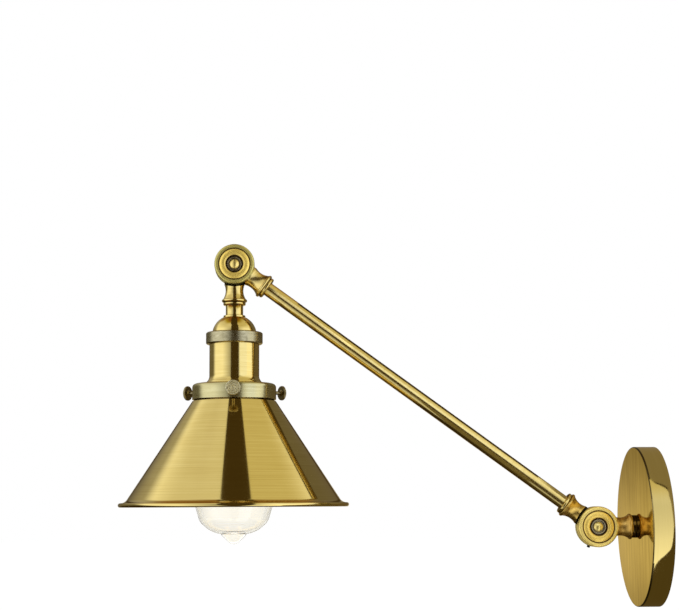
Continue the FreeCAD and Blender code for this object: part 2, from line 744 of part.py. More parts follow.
for name, u in (("thumbscrew_front", (0, -1, 0)), ("thumbscrew_left", (-math.sqrt(0.75), 0.5, 0)),
                ("thumbscrew_right", (math.sqrt(0.75), 0.5, 0))):
    ts = thumb_shank / 2
    th = thumb_head / 2
    keep(lathe(name, ((head_x, q(0), head_z - thumb_at), rot((0, 0, 1), u)), [
        (0, nr + 0.1), (ts - 0.5, nr + 0.1), (ts, nr + 0.8), (ts, thumb_face - 2.9), (ts + 1.1, thumb_face - 2.1),
        (th - 0.4, thumb_face - 2.1), (th, thumb_face - 1.7), (th, thumb_face - 0.4), (th - 0.4, thumb_face),
        (1.4, thumb_face), (0.9, thumb_face - 0.5), (0, thumb_face - 0.6)]))

# head leads: straight down the stem, then out to the terminals
leads = []
for k, s in enumerate((1, -1)):
    pts = [V(s * ws, -wo, 7.4), V(s * ws, -wo, 50), V(s * 9, -wo, 50 + 9 - ws), V(s * 9, -wo, core_top.v - 2.4)]
    edges = []
    start = pts[0]
    for i in (1, 2):
        a = pts[i - 1] - pts[i]
        c = pts[i + 1] - pts[i]
        a.normalize()
        c.normalize()
        reach = 2.0 * math.tan((math.pi - a.getAngle(c)) / 2)
        p = pts[i] + a * reach
        n = pts[i] + c * reach
        bis = a + c
        bis.normalize()
        mid = pts[i] + bis * (math.hypot(reach, 2.0) - 2.0)
        edges.append(Part.makeLine(start, p))
        edges.append(Part.Arc(p, mid, n).toShape())
        start = n
    edges.append(Part.makeLine(start, pts[3]))
    path = Part.Wire(edges)
    ring = Part.Wire([Part.makeCircle(wire_dia.v / 2, pts[0], V(0, 0, 1))])
    o = doc.addObject("Part::Feature", "HeadLead%d" % k)
    o.Shape = path.makePipeShell([ring], True, False)
    leads.append(o)
keep(group("head_leads", HEAD, leads))

# ----------------------------------------------------------------------- bulb
B = bulb_radius
g = bulb_wall
W = bulb_wide_at
T = bulb_tip
keep(lathe("bulb_glass", HEAD, [
    (12.0, 104.5), (12.6, 108.5), (26.47, 150, 107.2, 1), (B, W, 39.8, 1), (B - 1.7, 195.5), (B - 4.1, 203.5, 10, 1),
    (B - 7.4, 208.4, 26, 1), (13.4, T - 8.5), (10.0, T - 7.8), (9.2, T - 6.2), (4.6, T - 1.85, 6.4, 1), (0.4, T), (0, T),
    (0, T - g), (0.4, T - g, 5.5, -1), (3.96, T - 2.49), (8.4, T - 6.7), (9.5, T - 8.6), (13.1, T - 9.35, 25.1, -1),
    (B - 7.96, 207.7, 9.1, -1), (B - 4.96, 203.24), (B - 2.56, 195.24, 38.9, -1), (B - g, W, 106.3, -1), (25.62, 150.29),
    (11.75, 108.79), (11.1, 104.5)]))
keep(lathe("bulb_cap", HEAD, [
    (4.9, bulb_base + 2.4), (9, bulb_base + 2.9), (12.9, bulb_base + 6.5), (12.9, bulb_base + 26), (12.4, bulb_base + 26),
    (12.4, bulb_base + 7), (8.6, bulb_base + 3.9), (4.9, bulb_base + 3.2)]))
keep(lathe("bulb_insulator", HEAD, [
    (0, bulb_base + 1), (4.4, bulb_base + 1), (4.85, bulb_base + 2.3), (4.85, bulb_base + 3), (0, bulb_base + 3)]))
keep(lathe("bulb_contact", HEAD, [
    (0, bulb_base, 8.2, 1), (3.2, bulb_base + 0.65), (3.2, bulb_base + 0.95), (0, bulb_base + 0.95)]))
keep(lathe("bulb_stem", HEAD, [
    (0, 106.5), (10.6, 106.5), (10.6, 107.4, 8, -1), (4, 111), (2.6, 117), (2.6, 139), (1.6, 140.4), (0, 140.4)]))
sc = stick_circle
sticks = []
for k in range(4):
    a = math.radians(45 + 90 * k)
    sticks.append(rod("Stick%d" % k, 1.8, (sc.v * math.cos(a), sc.v * math.sin(a), 128), (sc.v * math.cos(a), sc.v * math.sin(a), 168.5)))
keep(group("bulb_filaments", HEAD, sticks))
hoop = new_body("support_hoop")
turn(hoop, [(sc - 0.4, 168.6), (sc + 0.4, 168.6), (sc + 0.4, 169.4), (sc - 0.4, 169.4)])
post = rod("SupportPost", 1.0, (0, 0, 140.5), (0, 0, 169.4))
bars = [rod("SupportBar%d" % k, 0.6, (-u[0] * 6.9, -u[1] * 6.9, 169), (u[0] * 6.9, u[1] * 6.9, 169))
        for k, u in enumerate(((math.sqrt(0.5), math.sqrt(0.5)), (math.sqrt(0.5), -math.sqrt(0.5))))]
fuse = doc.addObject("Part::MultiFuse", "LowerSupport")
fuse.Shapes = [hoop, post] + bars
tops = []
for k in range(4):
    a = math.radians(45 + 90 * k)
    tops.append(rod("SupportTop%d" % k, 0.6, (2.65 * math.cos(a), 2.65 * math.sin(a), 127.6),
                    (7.6 * math.cos(a), 7.6 * math.sin(a), 127.6)))
keep(group("filament_supports", HEAD, [fuse] + tops))

# ---------------------------------------------------------------------- write
doc.recompute()
bad = []
for o in doc.Objects:
    if "Invalid" in o.State or "Error" in o.State:
        bad.append("%s (%s): %s" % (o.Name, o.Label, o.State))
for o in parts:
    if o.Shape.isNull() or not o.Shape.isValid() or not o.Shape.Solids:
        bad.append("%s: shape" % o.Label)
if bad:
    raise RuntimeError("; ".join(bad))
for o in parts:
    shape = o.Shape
    shape.exportStep("parts/%s.step" % o.Label)
    print(o.Label, len(shape.Solids), round(shape.Volume, 1), [round(v, 2) for v in (
        shape.BoundBox.XMin, shape.BoundBox.XMax, shape.BoundBox.YMin, shape.BoundBox.YMax, shape.BoundBox.ZMin, shape.BoundBox.ZMax)])
print(len(parts), "nodes")
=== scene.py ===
import math

import bmesh
import bpy
from mathutils import Matrix, Vector


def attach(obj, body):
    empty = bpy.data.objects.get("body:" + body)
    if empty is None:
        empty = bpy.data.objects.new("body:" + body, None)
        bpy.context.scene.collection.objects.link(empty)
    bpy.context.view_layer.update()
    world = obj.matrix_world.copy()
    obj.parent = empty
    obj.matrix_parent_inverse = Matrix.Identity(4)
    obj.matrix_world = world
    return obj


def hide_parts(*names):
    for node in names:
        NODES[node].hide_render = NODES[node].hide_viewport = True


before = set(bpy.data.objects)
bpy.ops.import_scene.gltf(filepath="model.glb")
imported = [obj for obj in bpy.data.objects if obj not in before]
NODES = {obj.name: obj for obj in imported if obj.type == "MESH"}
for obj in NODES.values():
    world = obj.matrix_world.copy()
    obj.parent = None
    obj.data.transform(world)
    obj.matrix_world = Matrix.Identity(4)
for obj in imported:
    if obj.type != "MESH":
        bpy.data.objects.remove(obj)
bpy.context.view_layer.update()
MM = 0.001
scene = bpy.context.scene

# ------------------------------------------------------------ places in the frame
ARM_ANGLE = math.radians(36.1)
ARM_LEN = 359.5
WALL_JOINT = Vector((-47.5, 0, 0))
ARM = Vector((-math.cos(ARM_ANGLE), 0, math.sin(ARM_ANGLE)))
HEAD_JOINT = WALL_JOINT + ARM * ARM_LEN


def place(origin, zdir, xdir):
    """A local frame: z along zdir, x along xdir, origin in millimetres."""
    z = Vector(zdir).normalized()
    x = Vector(xdir).normalized()
    y = z.cross(x)
    m = Matrix.Identity(4)
    for i in range(3):
        m[i][0], m[i][1], m[i][2] = x[i], y[i], z[i]
        m[i][3] = origin[i] * MM
    return m


WALL = place((0, 0, 0), (-1, 0, 0), (0, 0, 1))
HEAD = place(HEAD_JOINT, (0, 0, -1), (1, 0, 0))
ARMF = place(WALL_JOINT, ARM, (math.sin(ARM_ANGLE), 0, math.cos(ARM_ANGLE)))
NECK_K = place(WALL_JOINT, (0, -1, 0), (1, 0, 0))
LOW_K = place(WALL_JOINT, (0, 1, 0), ARM)
UP_K = place(HEAD_JOINT, (0, -1, 0), -ARM)
UP_K0 = place(HEAD_JOINT, (0, -1, 0), (1, 0, 0))
UP_TURN = math.radians(-36.1)
HEAD_K = place(HEAD_JOINT, (0, 1, 0), (0, 0, -1))
NECK_S = place(WALL_JOINT, (1, 0, 0), (0, -1, 0))


# ---------------------------------------------------------------------- outlines
def trace(verts, closed=True, fine=6.0):
    """Points of an outline. A vertex (x, y, radius, side) starts an arc whose
    centre lies on the left for side +1."""
    out = []
    n = len(verts)
    for i, v in enumerate(verts):
        a = Vector((v[0], v[1]))
        out.append(a)
        if len(v) == 4 and (closed or i < n - 1):
            b = Vector(verts[(i + 1) % n][:2])
            chord = b - a
            half = chord.length / 2
            rise = math.sqrt(max(v[2] * v[2] - half * half, 0.0))
            left = Vector((-chord.y, chord.x)).normalized()
            c = (a + b) / 2 + left * rise * v[3]
            a0 = math.atan2(a.y - c.y, a.x - c.x)
            a1 = math.atan2(b.y - c.y, b.x - c.x)
            if v[3] > 0 and a1 < a0:
                a1 += 2 * math.pi
            if v[3] < 0 and a1 > a0:
                a1 -= 2 * math.pi
            k = max(3, math.ceil(abs(a1 - a0) / math.radians(fine)))
            for j in range(1, k):
                t = a0 + (a1 - a0) * j / k
                out.append(c + Vector((math.cos(t), math.sin(t))) * v[2])
    return out


def soften(points, reach, closed=True, limit=24.0):
    """Rounds each corner of a polyline by a small radius, with a holding point
    on either side so that the flats beside it stay flat."""
    out = []
    n = len(points)
    for i, p in enumerate(points):
        if not closed and i in (0, n - 1):
            out.append(p)
            continue
        a = points[i - 1]
        b = points[(i + 1) % n]
        u = a - p
        w = b - p
        lu, lw = u.length, w.length
        if lu < 1e-9 or lw < 1e-9:
            out.append(p)
            continue
        u /= lu
        w /= lw
        bend = math.pi - math.acos(max(-1.0, min(1.0, u.dot(w))))
        if math.degrees(bend) < limit or p.x < 1e-6:
            out.append(p)
            continue
        t = min(reach * math.tan(bend / 2), 0.38 * lu, 0.38 * lw)
        hold = t * 0.22
        k = max(3, math.ceil(math.degrees(bend) / 22))
        out.append(p + u * (t + hold))
        for j in range(k + 1):
            s = j / k
            out.append((p + u * t) * (1 - s) ** 2 + p * 2 * s * (1 - s) + (p + w * t) * s * s)
        out.append(p + w * (t + hold))
    return out


def flip(verts):
    """An outline given as (along, radius) turned into (radius, along)."""
    n = len(verts)
    out = []
    for i in range(n):
        v = verts[i]
        if len(v) == 4:
            out.append((v[1], v[0], v[2], -v[3]))
        else:
            out.append((v[1], v[0]))
    return out


# -------------------------------------------------------------------------- mesh
def finish_mesh(name, bm, at, sharp=40.0):
    bmesh.ops.remove_doubles(bm, verts=bm.verts, dist=1e-8)
    bmesh.ops.recalc_face_normals(bm, faces=bm.faces)
    for f in bm.faces:
        f.smooth = True
    lim = math.radians(sharp)
    for e in bm.edges:
        if len(e.link_faces) == 2:
            e.smooth = e.calc_face_angle(0.0) < lim
    me = bpy.data.meshes.new(name)
    bm.to_mesh(me)
    bm.free()
    o = bpy.data.objects.new(name, me)
    scene.collection.objects.link(o)
    o.matrix_world = at
    return o


def spin_into(bm, points, seg, shape=None, closed=True):
    """Turns a polyline of (radius, along) in millimetres about local z."""
    rings = []
    for i, p in enumerate(points):
        if p.x < 1e-6:
            rings.append([bm.verts.new((0, 0, p.y * MM))])
            continue
        ring = []
        for j in range(seg):
            a = 2 * math.pi * j / seg
            r = p.x if shape is None else shape(i, p.x, a, p.y)
            ring.append(bm.verts.new((r * math.cos(a) * MM, r * math.sin(a) * MM, p.y * MM)))
        rings.append(ring)
    n = len(rings)
    for i in range(n if closed else n - 1):
        a = rings[i]
        b = rings[(i + 1) % n]
        if len(a) == 1 and len(b) == 1:
            continue
        for j in range(seg):
            k = (j + 1) % seg
            if len(a) == 1:
                bm.faces.new((a[0], b[k], b[j]))
            elif len(b) == 1:
                bm.faces.new((a[j], a[k], b[0]))
            else:
                bm.faces.new((a[j], a[k], b[k], b[j]))


def lathe(name, at, verts, seg=128, soft=0.2, fine=6.0, shape=None, sharp=40.0):
    bm = bmesh.new()
    spin_into(bm, soften(trace(verts, fine=fine), soft), seg, shape)
    return finish_mesh(name, bm, at, sharp)


def join_cut(base, others, op):
    for k in others:
        m = base.modifiers.new("b", "BOOLEAN")
        m.operation = op
        m.solver = "EXACT"
        m.object = k
    dg = bpy.context.evaluated_depsgraph_get()
    me = bpy.data.meshes.new_from_object(base.evaluated_get(dg))
    base.modifiers.clear()
    old = base.data
    base.data = me
    bpy.data.meshes.remove(old)
    for k in others:
        d = k.data
        bpy.data.objects.remove(k)
        bpy.data.meshes.remove(d)
    return base


def reshade(o, sharp=35.0):
    bm = bmesh.new()
    bm.from_mesh(o.data)
    bmesh.ops.remove_doubles(bm, verts=bm.verts, dist=2e-6)
    lim = math.radians(sharp)
    for f in bm.faces:
        f.smooth = True
    for e in bm.edges:
        e.smooth = len(e.link_faces) == 2 and e.calc_face_angle(0.0) < lim
    bm.to_mesh(o.data)
    bm.free()
    return o


def bevelled(o, width, seg=3, angle=30.0):
    m = o.modifiers.new("edge", "BEVEL")
    m.width = width * MM
    m.segments = seg
    m.limit_method = "ANGLE"
    m.angle_limit = math.radians(angle)
    m.harden_normals = False
    n = o.modifiers.new("normals", "WEIGHTED_NORMAL")
    n.keep_sharp = True
    n.weight = 80
    return o


# --------------------------------------------------------------------- materials
class Tree:
    """Short forms for building a node tree."""

    def __init__(self, tree):
        self.t = tree
        tree.nodes.clear()

    def node(self, kind, **values):
        n = self.t.nodes.new(kind)
        for k, v in values.items():
            setattr(n, k, v)
        return n

    def put(self, value, socket):
        if isinstance(value, bpy.types.NodeSocket):
            self.t.links.new(value, socket)
        else:
            socket.default_value = value

    def math(self, op, a, b=None, c=None):
        n = self.node("ShaderNodeMath", operation=op)
        for k, v in enumerate((a, b, c)):
            if v is not None:
                self.put(v, n.inputs[k])
        return n.outputs[0]

    def vec(self, op, a, b=None, scale=None):
        n = self.node("ShaderNodeVectorMath", operation=op)
        self.put(a, n.inputs[0])
        if b is not None:
            self.put(b, n.inputs[1])
        if scale is not None:
            self.put(scale, n.inputs["Scale"])
        return n.outputs["Value"] if op in ("DOT_PRODUCT", "LENGTH", "DISTANCE") else n.outputs["Vector"]

    def split(self, v):
        n = self.node("ShaderNodeSeparateXYZ")
        self.put(v, n.inputs[0])
        return n.outputs[0], n.outputs[1], n.outputs[2]

    def join(self, x, y, z):
        n = self.node("ShaderNodeCombineXYZ")
        for k, v in enumerate((x, y, z)):
            self.put(v, n.inputs[k])
        return n.outputs[0]

    def noise(self, vector, scale=1.0, detail=2.0, rough=0.5, warp=0.0):
        n = self.node("ShaderNodeTexNoise")
        self.put(vector, n.inputs["Vector"])
        n.inputs["Scale"].default_value = scale
        n.inputs["Detail"].default_value = detail
        n.inputs["Roughness"].default_value = rough
        n.inputs["Distortion"].default_value = warp
        return n.outputs[0]

    def span(self, value, a, b, lo=0.0, hi=1.0, kind="SMOOTHSTEP"):
        n = self.node("ShaderNodeMapRange", interpolation_type=kind)
        self.put(value, n.inputs["Value"])
        n.inputs["From Min"].default_value = a
        n.inputs["From Max"].default_value = b
        n.inputs["To Min"].default_value = lo
        n.inputs["To Max"].default_value = hi
        return n.outputs["Result"]

    def mix(self, factor, a, b, blend="MIX"):
        n = self.node("ShaderNodeMix", data_type="RGBA", blend_type=blend)
        self.put(factor, n.inputs[0])
        self.put(a if isinstance(a, bpy.types.NodeSocket) else (*a, 1.0), n.inputs[6])
        self.put(b if isinstance(b, bpy.types.NodeSocket) else (*b, 1.0), n.inputs[7])
        return n.outputs[2]


def material(name):
    m = bpy.data.materials.new(name)
    m.use_nodes = True
    t = Tree(m.node_tree)
    out = t.node("ShaderNodeOutputMaterial")
    b = t.node("ShaderNodeBsdfPrincipled")
    t.t.links.new(b.outputs[0], out.inputs["Surface"])
    return m, t, b


def spot(t):
    return t.node("ShaderNodeTexCoord").outputs["Object"]


def around(t, where):
    """(unit direction about z, radius, height) of a point of a turned piece."""
    x, y, z = t.split(where)
    flat = t.join(x, y, 0.0)
    r = t.vec("LENGTH", flat)
    return t.vec("NORMALIZE", flat), r, z


def creases(t, reach, lo, hi):
    """1 in a crease, 0 in the open, found by occlusion; the crease colour it mixes in is part real tarnish, part
    painted shade.
    """
    n = t.node("ShaderNodeAmbientOcclusion", samples=8)
    n.inputs["Distance"].default_value = reach * MM
    return t.span(n.outputs["AO"], lo, hi, 1.0, 0.0)


def turned_metal(name, light, mid, dark, rough=(0.14, 0.26), aniso=0.6, sweep=0.8, coarse=1.6, fine=0.22, lines=0.05,
                 tone=0.6, patina_and_shade=(0.10, 0.065, 0.02), patina_and_shade_reach=1.3, patina_and_shade_amount=0.8, lying=None, edge=(1.0, 0.92, 0.76)):
    """Metal brushed round the local z axis, or round a line in the local xy plane at the angle 'lying'."""
    m, t, b = material(name)
    where = spot(t)
    if lying is not None:
        n = t.node("ShaderNodeVectorRotate", rotation_type="Z_AXIS")
        t.put(where, n.inputs["Vector"])
        n.inputs["Angle"].default_value = -lying
        x, y, z = t.split(n.outputs[0])
        d, r, z = around(t, t.join(y, z, x))
    else:
        d, r, z = around(t, where)
    s = t.math("ADD", z, r)
    dx, dy, _ = t.split(d)

    def streak(k, size, detail):
        return t.noise(t.join(t.math("MULTIPLY", dx, k), t.math("MULTIPLY", dy, k), t.math("DIVIDE", s, size * MM)),
                       1.0, detail, 0.6)

    broad = streak(sweep, coarse, 2.0)
    hair = streak(sweep * 1.6, fine, 2.0)
    cloud = t.noise(where, 45.0, 3.0)
    v = t.math("ADD", t.math("MULTIPLY", broad, tone), t.math("MULTIPLY", hair, 1.0 - tone))
    v = t.math("ADD", v, t.math("MULTIPLY", t.math("SUBTRACT", cloud, 0.5), 0.2))
    colour = t.mix(t.span(v, 0.50, 0.70), t.mix(t.span(v, 0.30, 0.50), dark, mid), light)
    # occlusion darkens creases towards the crease colour: part real tarnish, part painted shade
    crease = creases(t, patina_and_shade_reach, 0.30, 0.85)
    colour = t.mix(t.math("MULTIPLY", crease, patina_and_shade_amount), colour, patina_and_shade)
    t.put(colour, b.inputs["Base Color"])
    b.inputs["Metallic"].default_value = 1.0
    b.inputs["Specular Tint"].default_value = (*edge, 1.0)
    rg = t.span(t.math("ADD", t.math("MULTIPLY", hair, 0.6), t.math("MULTIPLY", cloud, 0.4)), 0.3, 0.7, rough[0], rough[1], "LINEAR")
    t.put(t.math("ADD", rg, t.math("MULTIPLY", crease, 0.12)), b.inputs["Roughness"])
    b.inputs["Anisotropic"].default_value = aniso
    if aniso > 0:
        b.inputs["Anisotropic Rotation"].default_value = 0.25
        tan = t.node("ShaderNodeTangent", direction_type="RADIAL", axis="Z")
        t.put(tan.outputs[0], b.inputs["Tangent"])
    bump = t.node("ShaderNodeBump")
    bump.inputs["Strength"].default_value = lines
    bump.inputs["Distance"].default_value = 0.00005
    t.put(t.math("ADD", hair, t.math("MULTIPLY", broad, 0.6)), bump.inputs["Height"])
    t.put(bump.outputs[0], b.inputs["Normal"])
    return m


def disc_metal(name, face, rim, groove, rough=(0.46, 0.54), metal=0.72):
    """Satin face turned round local z: a gold ring and a greener rim, with painted shade in the thin groove and round
    the edge of the recess.
    """
    m, t, b = material(name)
    where = spot(t)
    d, r, z = around(t, where)
    dx, dy, _ = t.split(d)
    broad = t.noise(t.join(t.math("MULTIPLY", dx, 0.7), t.math("MULTIPLY", dy, 0.7), t.math("DIVIDE", t.math("ADD", z, r), 0.0009)), 1.0, 2.0, 0.6)
    cloud = t.noise(where, 60.0, 3.0)
    v = t.math("ADD", t.math("MULTIPLY", broad, 0.7), t.math("MULTIPLY", cloud, 0.3))
    tone = t.span(v, 0.32, 0.68, 0.88, 1.10, "LINEAR")
    colour = t.mix(t.span(r, 0.0127, 0.0132), face, rim)
    # painted shade: the groove band and the recess edge take the dark groove colour
    inside = t.math("MULTIPLY", t.span(r, 0.0119, 0.0123), t.span(r, 0.0133, 0.0129))
    colour = t.mix(inside, colour, groove)
    colour = t.mix(t.span(r, 0.0078, 0.0070), colour, groove)
    n = t.node("ShaderNodeVectorMath", operation="SCALE")
    t.put(colour, n.inputs[0])
    t.put(tone, n.inputs["Scale"])
    t.put(n.outputs[0], b.inputs["Base Color"])
    b.inputs["Metallic"].default_value = metal
    t.put(t.span(v, 0.3, 0.7, rough[0], rough[1], "LINEAR"), b.inputs["Roughness"])
    bump = t.node("ShaderNodeBump")
    bump.inputs["Strength"].default_value = 0.02
    bump.inputs["Distance"].default_value = 0.00005
    t.put(broad, bump.inputs["Height"])
    t.put(bump.outputs[0], b.inputs["Normal"])
    return m


def straight_metal(name, light, mid, dark, along="X", rough=(0.22, 0.34), aniso=0.7, tangent="X", turn=0.0, lines=0.10,
                   patina_and_shade=(0.10, 0.065, 0.02), patina_and_shade_amount=0.5, edge=(0.97, 0.86, 0.62)):
    """Metal brushed in straight lines along a local axis."""
    m, t, b = material(name)
    where = spot(t)
    x, y, z = t.split(where)

    def streak(long, size, detail):
        f = {"X": (long, size, size), "Y": (size, long, size), "Z": (size, size, long)}[along]
        return t.noise(t.join(*(t.math("DIVIDE", c, k * MM) for c, k in zip((x, y, z), f))), 1.0, detail, 0.6)

    broad = t.math("ADD", t.math("MULTIPLY", streak(90.0, 5.5, 1.0), 0.6), t.math("MULTIPLY", streak(45.0, 1.6, 2.0), 0.4))
    hair = streak(22.0, 0.4, 2.0)
    cloud = t.noise(where, 40.0, 3.0)
    v = t.math("ADD", t.math("MULTIPLY", broad, 0.8), t.math("MULTIPLY", hair, 0.2))
    v = t.math("ADD", v, t.math("MULTIPLY", t.math("SUBTRACT", cloud, 0.5), 0.25))
    colour = t.mix(t.span(v, 0.50, 0.68), t.mix(t.span(v, 0.32, 0.50), dark, mid), light)
    # occlusion darkens creases towards the crease colour: part real tarnish, part painted shade
    crease = creases(t, 2.2, 0.35, 0.92)
    colour = t.mix(t.math("MULTIPLY", crease, patina_and_shade_amount), colour, patina_and_shade)
    t.put(colour, b.inputs["Base Color"])
    b.inputs["Metallic"].default_value = 1.0
    b.inputs["Specular Tint"].default_value = (*edge, 1.0)
    t.put(t.span(t.math("ADD", t.math("MULTIPLY", hair, 0.6), t.math("MULTIPLY", cloud, 0.4)), 0.3, 0.7, rough[0], rough[1], "LINEAR"),
          b.inputs["Roughness"])
    b.inputs["Anisotropic"].default_value = aniso
    b.inputs["Anisotropic Rotation"].default_value = turn
    tan = t.node("ShaderNodeTangent", direction_type="RADIAL", axis=tangent)
    t.put(tan.outputs[0], b.inputs["Tangent"])
    bump = t.node("ShaderNodeBump")
    bump.inputs["Strength"].default_value = lines
    bump.inputs["Distance"].default_value = 0.00006
    t.put(t.math("ADD", hair, t.math("MULTIPLY", broad, 0.4)), bump.inputs["Height"])
    t.put(bump.outputs[0], b.inputs["Normal"])
    return m


def plain_metal(name, light, mid, dark, rough=(0.2, 0.35), grain=900.0, cloud_size=120.0, bumpy=0.08, patina_and_shade=(0.05, 0.045, 0.04),
                patina_and_shade_amount=0.6):
    """Cast, plated or pressed metal with no brush direction."""
    m, t, b = material(name)
    where = spot(t)
    cloud = t.noise(where, cloud_size, 4.0, 0.6)
    speck = t.noise(where, grain, 3.0, 0.6)
    v = t.math("ADD", t.math("MULTIPLY", cloud, 0.65), t.math("MULTIPLY", speck, 0.35))
    colour = t.mix(t.span(v, 0.50, 0.68), t.mix(t.span(v, 0.32, 0.50), dark, mid), light)
    # occlusion darkens creases towards the crease colour: part real tarnish, part painted shade
    crease = creases(t, 1.8, 0.35, 0.92)
    colour = t.mix(t.math("MULTIPLY", crease, patina_and_shade_amount), colour, patina_and_shade)
    t.put(colour, b.inputs["Base Color"])
    b.inputs["Metallic"].default_value = 1.0
    t.put(t.span(v, 0.3, 0.7, rough[0], rough[1], "LINEAR"), b.inputs["Roughness"])
    bump = t.node("ShaderNodeBump")
    bump.inputs["Strength"].default_value = bumpy
    bump.inputs["Distance"].default_value = 0.00008
    t.put(speck, bump.inputs["Height"])
    t.put(bump.outputs[0], b.inputs["Normal"])
    return m


def dull(name, light, dark, rough=(0.4, 0.6), grain=700.0, coat=0.0, bumpy=0.1):
    """Paint, plastic or glazed clay."""
    m, t, b = material(name)
    where = spot(t)
    v = t.math("ADD", t.math("MULTIPLY", t.noise(where, grain * 0.12, 3.0), 0.5), t.math("MULTIPLY", t.noise(where, grain, 3.0), 0.5))
    t.put(t.mix(t.span(v, 0.35, 0.65), dark, light), b.inputs["Base Color"])
    t.put(t.span(v, 0.3, 0.7, rough[0], rough[1], "LINEAR"), b.inputs["Roughness"])
    b.inputs["Coat Weight"].default_value = coat
    b.inputs["Coat Roughness"].default_value = 0.08
    bump = t.node("ShaderNodeBump")
    bump.inputs["Strength"].default_value = bumpy
    bump.inputs["Distance"].default_value = 0.00008
    t.put(v, bump.inputs["Height"])
    t.put(bump.outputs[0], b.inputs["Normal"])
    return m


BRASS = dict(light=(0.86, 0.66, 0.230), mid=(0.79, 0.59, 0.185), dark=(0.70, 0.505, 0.145))
GOLD = dict(light=(0.92, 0.65, 0.135), mid=(0.87, 0.595, 0.11), dark=(0.78, 0.515, 0.085))
M_SHADE = turned_metal("brass_shade", rough=(0.06, 0.10), aniso=0.5, sweep=0.7, coarse=1.4, fine=0.5, lines=0.035, patina_and_shade_amount=0.25, **BRASS)
M_BRASS = turned_metal("brass_turned", rough=(0.08, 0.14), aniso=0.4, sweep=0.8, coarse=0.9, fine=0.4, lines=0.035, **BRASS)
M_ROD = turned_metal("brass_rod", rough=(0.15, 0.20), aniso=0.3, sweep=0.8, coarse=2.6, fine=0.8, lines=0.015, **BRASS)
M_DISC = disc_metal("brass_knuckle_disc", (0.96, 0.69, 0.15), (0.60, 0.50, 0.135), (0.13, 0.075, 0.018), rough=(0.34, 0.41), metal=0.80)
M_DISC_WALL = disc_metal("brass_knuckle_disc_wall", (0.95, 0.655, 0.135), (0.94, 0.71, 0.19), (0.15, 0.075, 0.015), rough=(0.34, 0.41), metal=0.77)
M_BOLT = disc_metal("brass_bolt", (0.90, 0.68, 0.20), (0.90, 0.68, 0.20), (0.90, 0.68, 0.20), rough=(0.24, 0.32), metal=0.9)
M_STUB = turned_metal("brass_knuckle_stub", rough=(0.11, 0.16), aniso=0.0, sweep=0.7, coarse=0.8, fine=0.4, lines=0.03, lying=0.0, **BRASS)
M_STUB_UP = turned_metal("brass_knuckle_stub_upper", rough=(0.22, 0.27), aniso=0.0, sweep=0.7, coarse=0.8, fine=0.4, lines=0.03,
                         lying=UP_TURN, **BRASS)
M_STUB_SATIN = turned_metal("brass_knuckle_stub_satin", rough=(0.27, 0.33), aniso=0.0, sweep=0.7, coarse=0.8, fine=0.4, lines=0.02, lying=0.0,
                            light=(0.80, 0.53, 0.125), mid=(0.72, 0.46, 0.10), dark=(0.60, 0.37, 0.07))
M_NECK = turned_metal("brass_neck", rough=(0.32, 0.40), aniso=0.0, sweep=0.7, coarse=0.8, fine=0.4, lines=0.02, lying=0.0,
                      light=(0.76, 0.47, 0.11), mid=(0.68, 0.40, 0.085), dark=(0.56, 0.32, 0.06))
# painted shade: the canopy front's rounded edge is drawn as a dark reflection line, in a lighter and a darker copy
M_EDGE_SHADE = turned_metal("brass_canopy_edge_painted_shade", rough=(0.2, 0.28), aniso=0.0, sweep=0.9, coarse=1.0, fine=0.5, lines=0.02,
                      light=(0.33, 0.235, 0.075), mid=(0.26, 0.18, 0.055), dark=(0.19, 0.13, 0.038))
M_EDGE_SHADE_DARK = turned_metal("brass_canopy_edge_painted_shade_dark", rough=(0.3, 0.38), aniso=0.0, sweep=0.9, coarse=1.0, fine=0.5, lines=0.02,
                           light=(0.15, 0.10, 0.032), mid=(0.115, 0.078, 0.024), dark=(0.08, 0.053, 0.016))
# painted shadow: near-black brass for the lap's floor and wall between disc and stub
M_LAP_SHADOW = turned_metal("brass_lap_shadow", rough=(0.5, 0.6), aniso=0.0, sweep=0.9, coarse=1.0, fine=0.4, lines=0.03,
                     light=(0.055, 0.040, 0.016), mid=(0.040, 0.028, 0.010), dark=(0.024, 0.017, 0.006), patina_and_shade=(0.012, 0.008, 0.003))
# painted shade: the neck collar is the same brass as the rings, coloured near black as the shadow between knuckle and
# canopy
M_NECK_RING_SHADE = turned_metal("brass_neck_ring_painted_shade", rough=(0.16, 0.24), aniso=0.2, sweep=0.8, coarse=0.8, fine=0.4, lines=0.03,
                           light=(0.20, 0.135, 0.042), mid=(0.14, 0.092, 0.028), dark=(0.085, 0.055, 0.016), patina_and_shade=(0.02, 0.014, 0.006))
M_FACE = straight_metal("brass_canopy_face", along="X", rough=(0.05, 0.09), aniso=0.6, tangent="X", turn=0.0, lines=0.015,
                        light=(0.95, 0.745, 0.29), mid=(0.78, 0.60, 0.21), dark=(0.58, 0.43, 0.14))
M_SIDE = turned_metal("brass_canopy_side", rough=(0.06, 0.10), aniso=0.3, sweep=0.8, coarse=1.2, fine=0.5, lines=0.01,
                      light=(0.815, 0.615, 0.200), mid=(0.79, 0.59, 0.185), dark=(0.76, 0.56, 0.170))
AGED = dict(light=(0.68, 0.595, 0.285), mid=(0.59, 0.505, 0.225), dark=(0.46, 0.38, 0.155))
M_AGED = turned_metal("aged_brass_turned", rough=(0.19, 0.26), aniso=0.4, sweep=0.9, coarse=1.3, fine=0.5, lines=0.05,
                      patina_and_shade=(0.05, 0.04, 0.02), **AGED)
M_KNURL = turned_metal("aged_brass_knurl", rough=(0.20, 0.30), aniso=0.0, sweep=5.0, coarse=2.2, fine=0.6, lines=0.05,
                       light=(0.60, 0.52, 0.29), mid=(0.47, 0.40, 0.21), dark=(0.31, 0.255, 0.125),
                       patina_and_shade=(0.04, 0.032, 0.018), patina_and_shade_reach=0.5, patina_and_shade_amount=0.5)
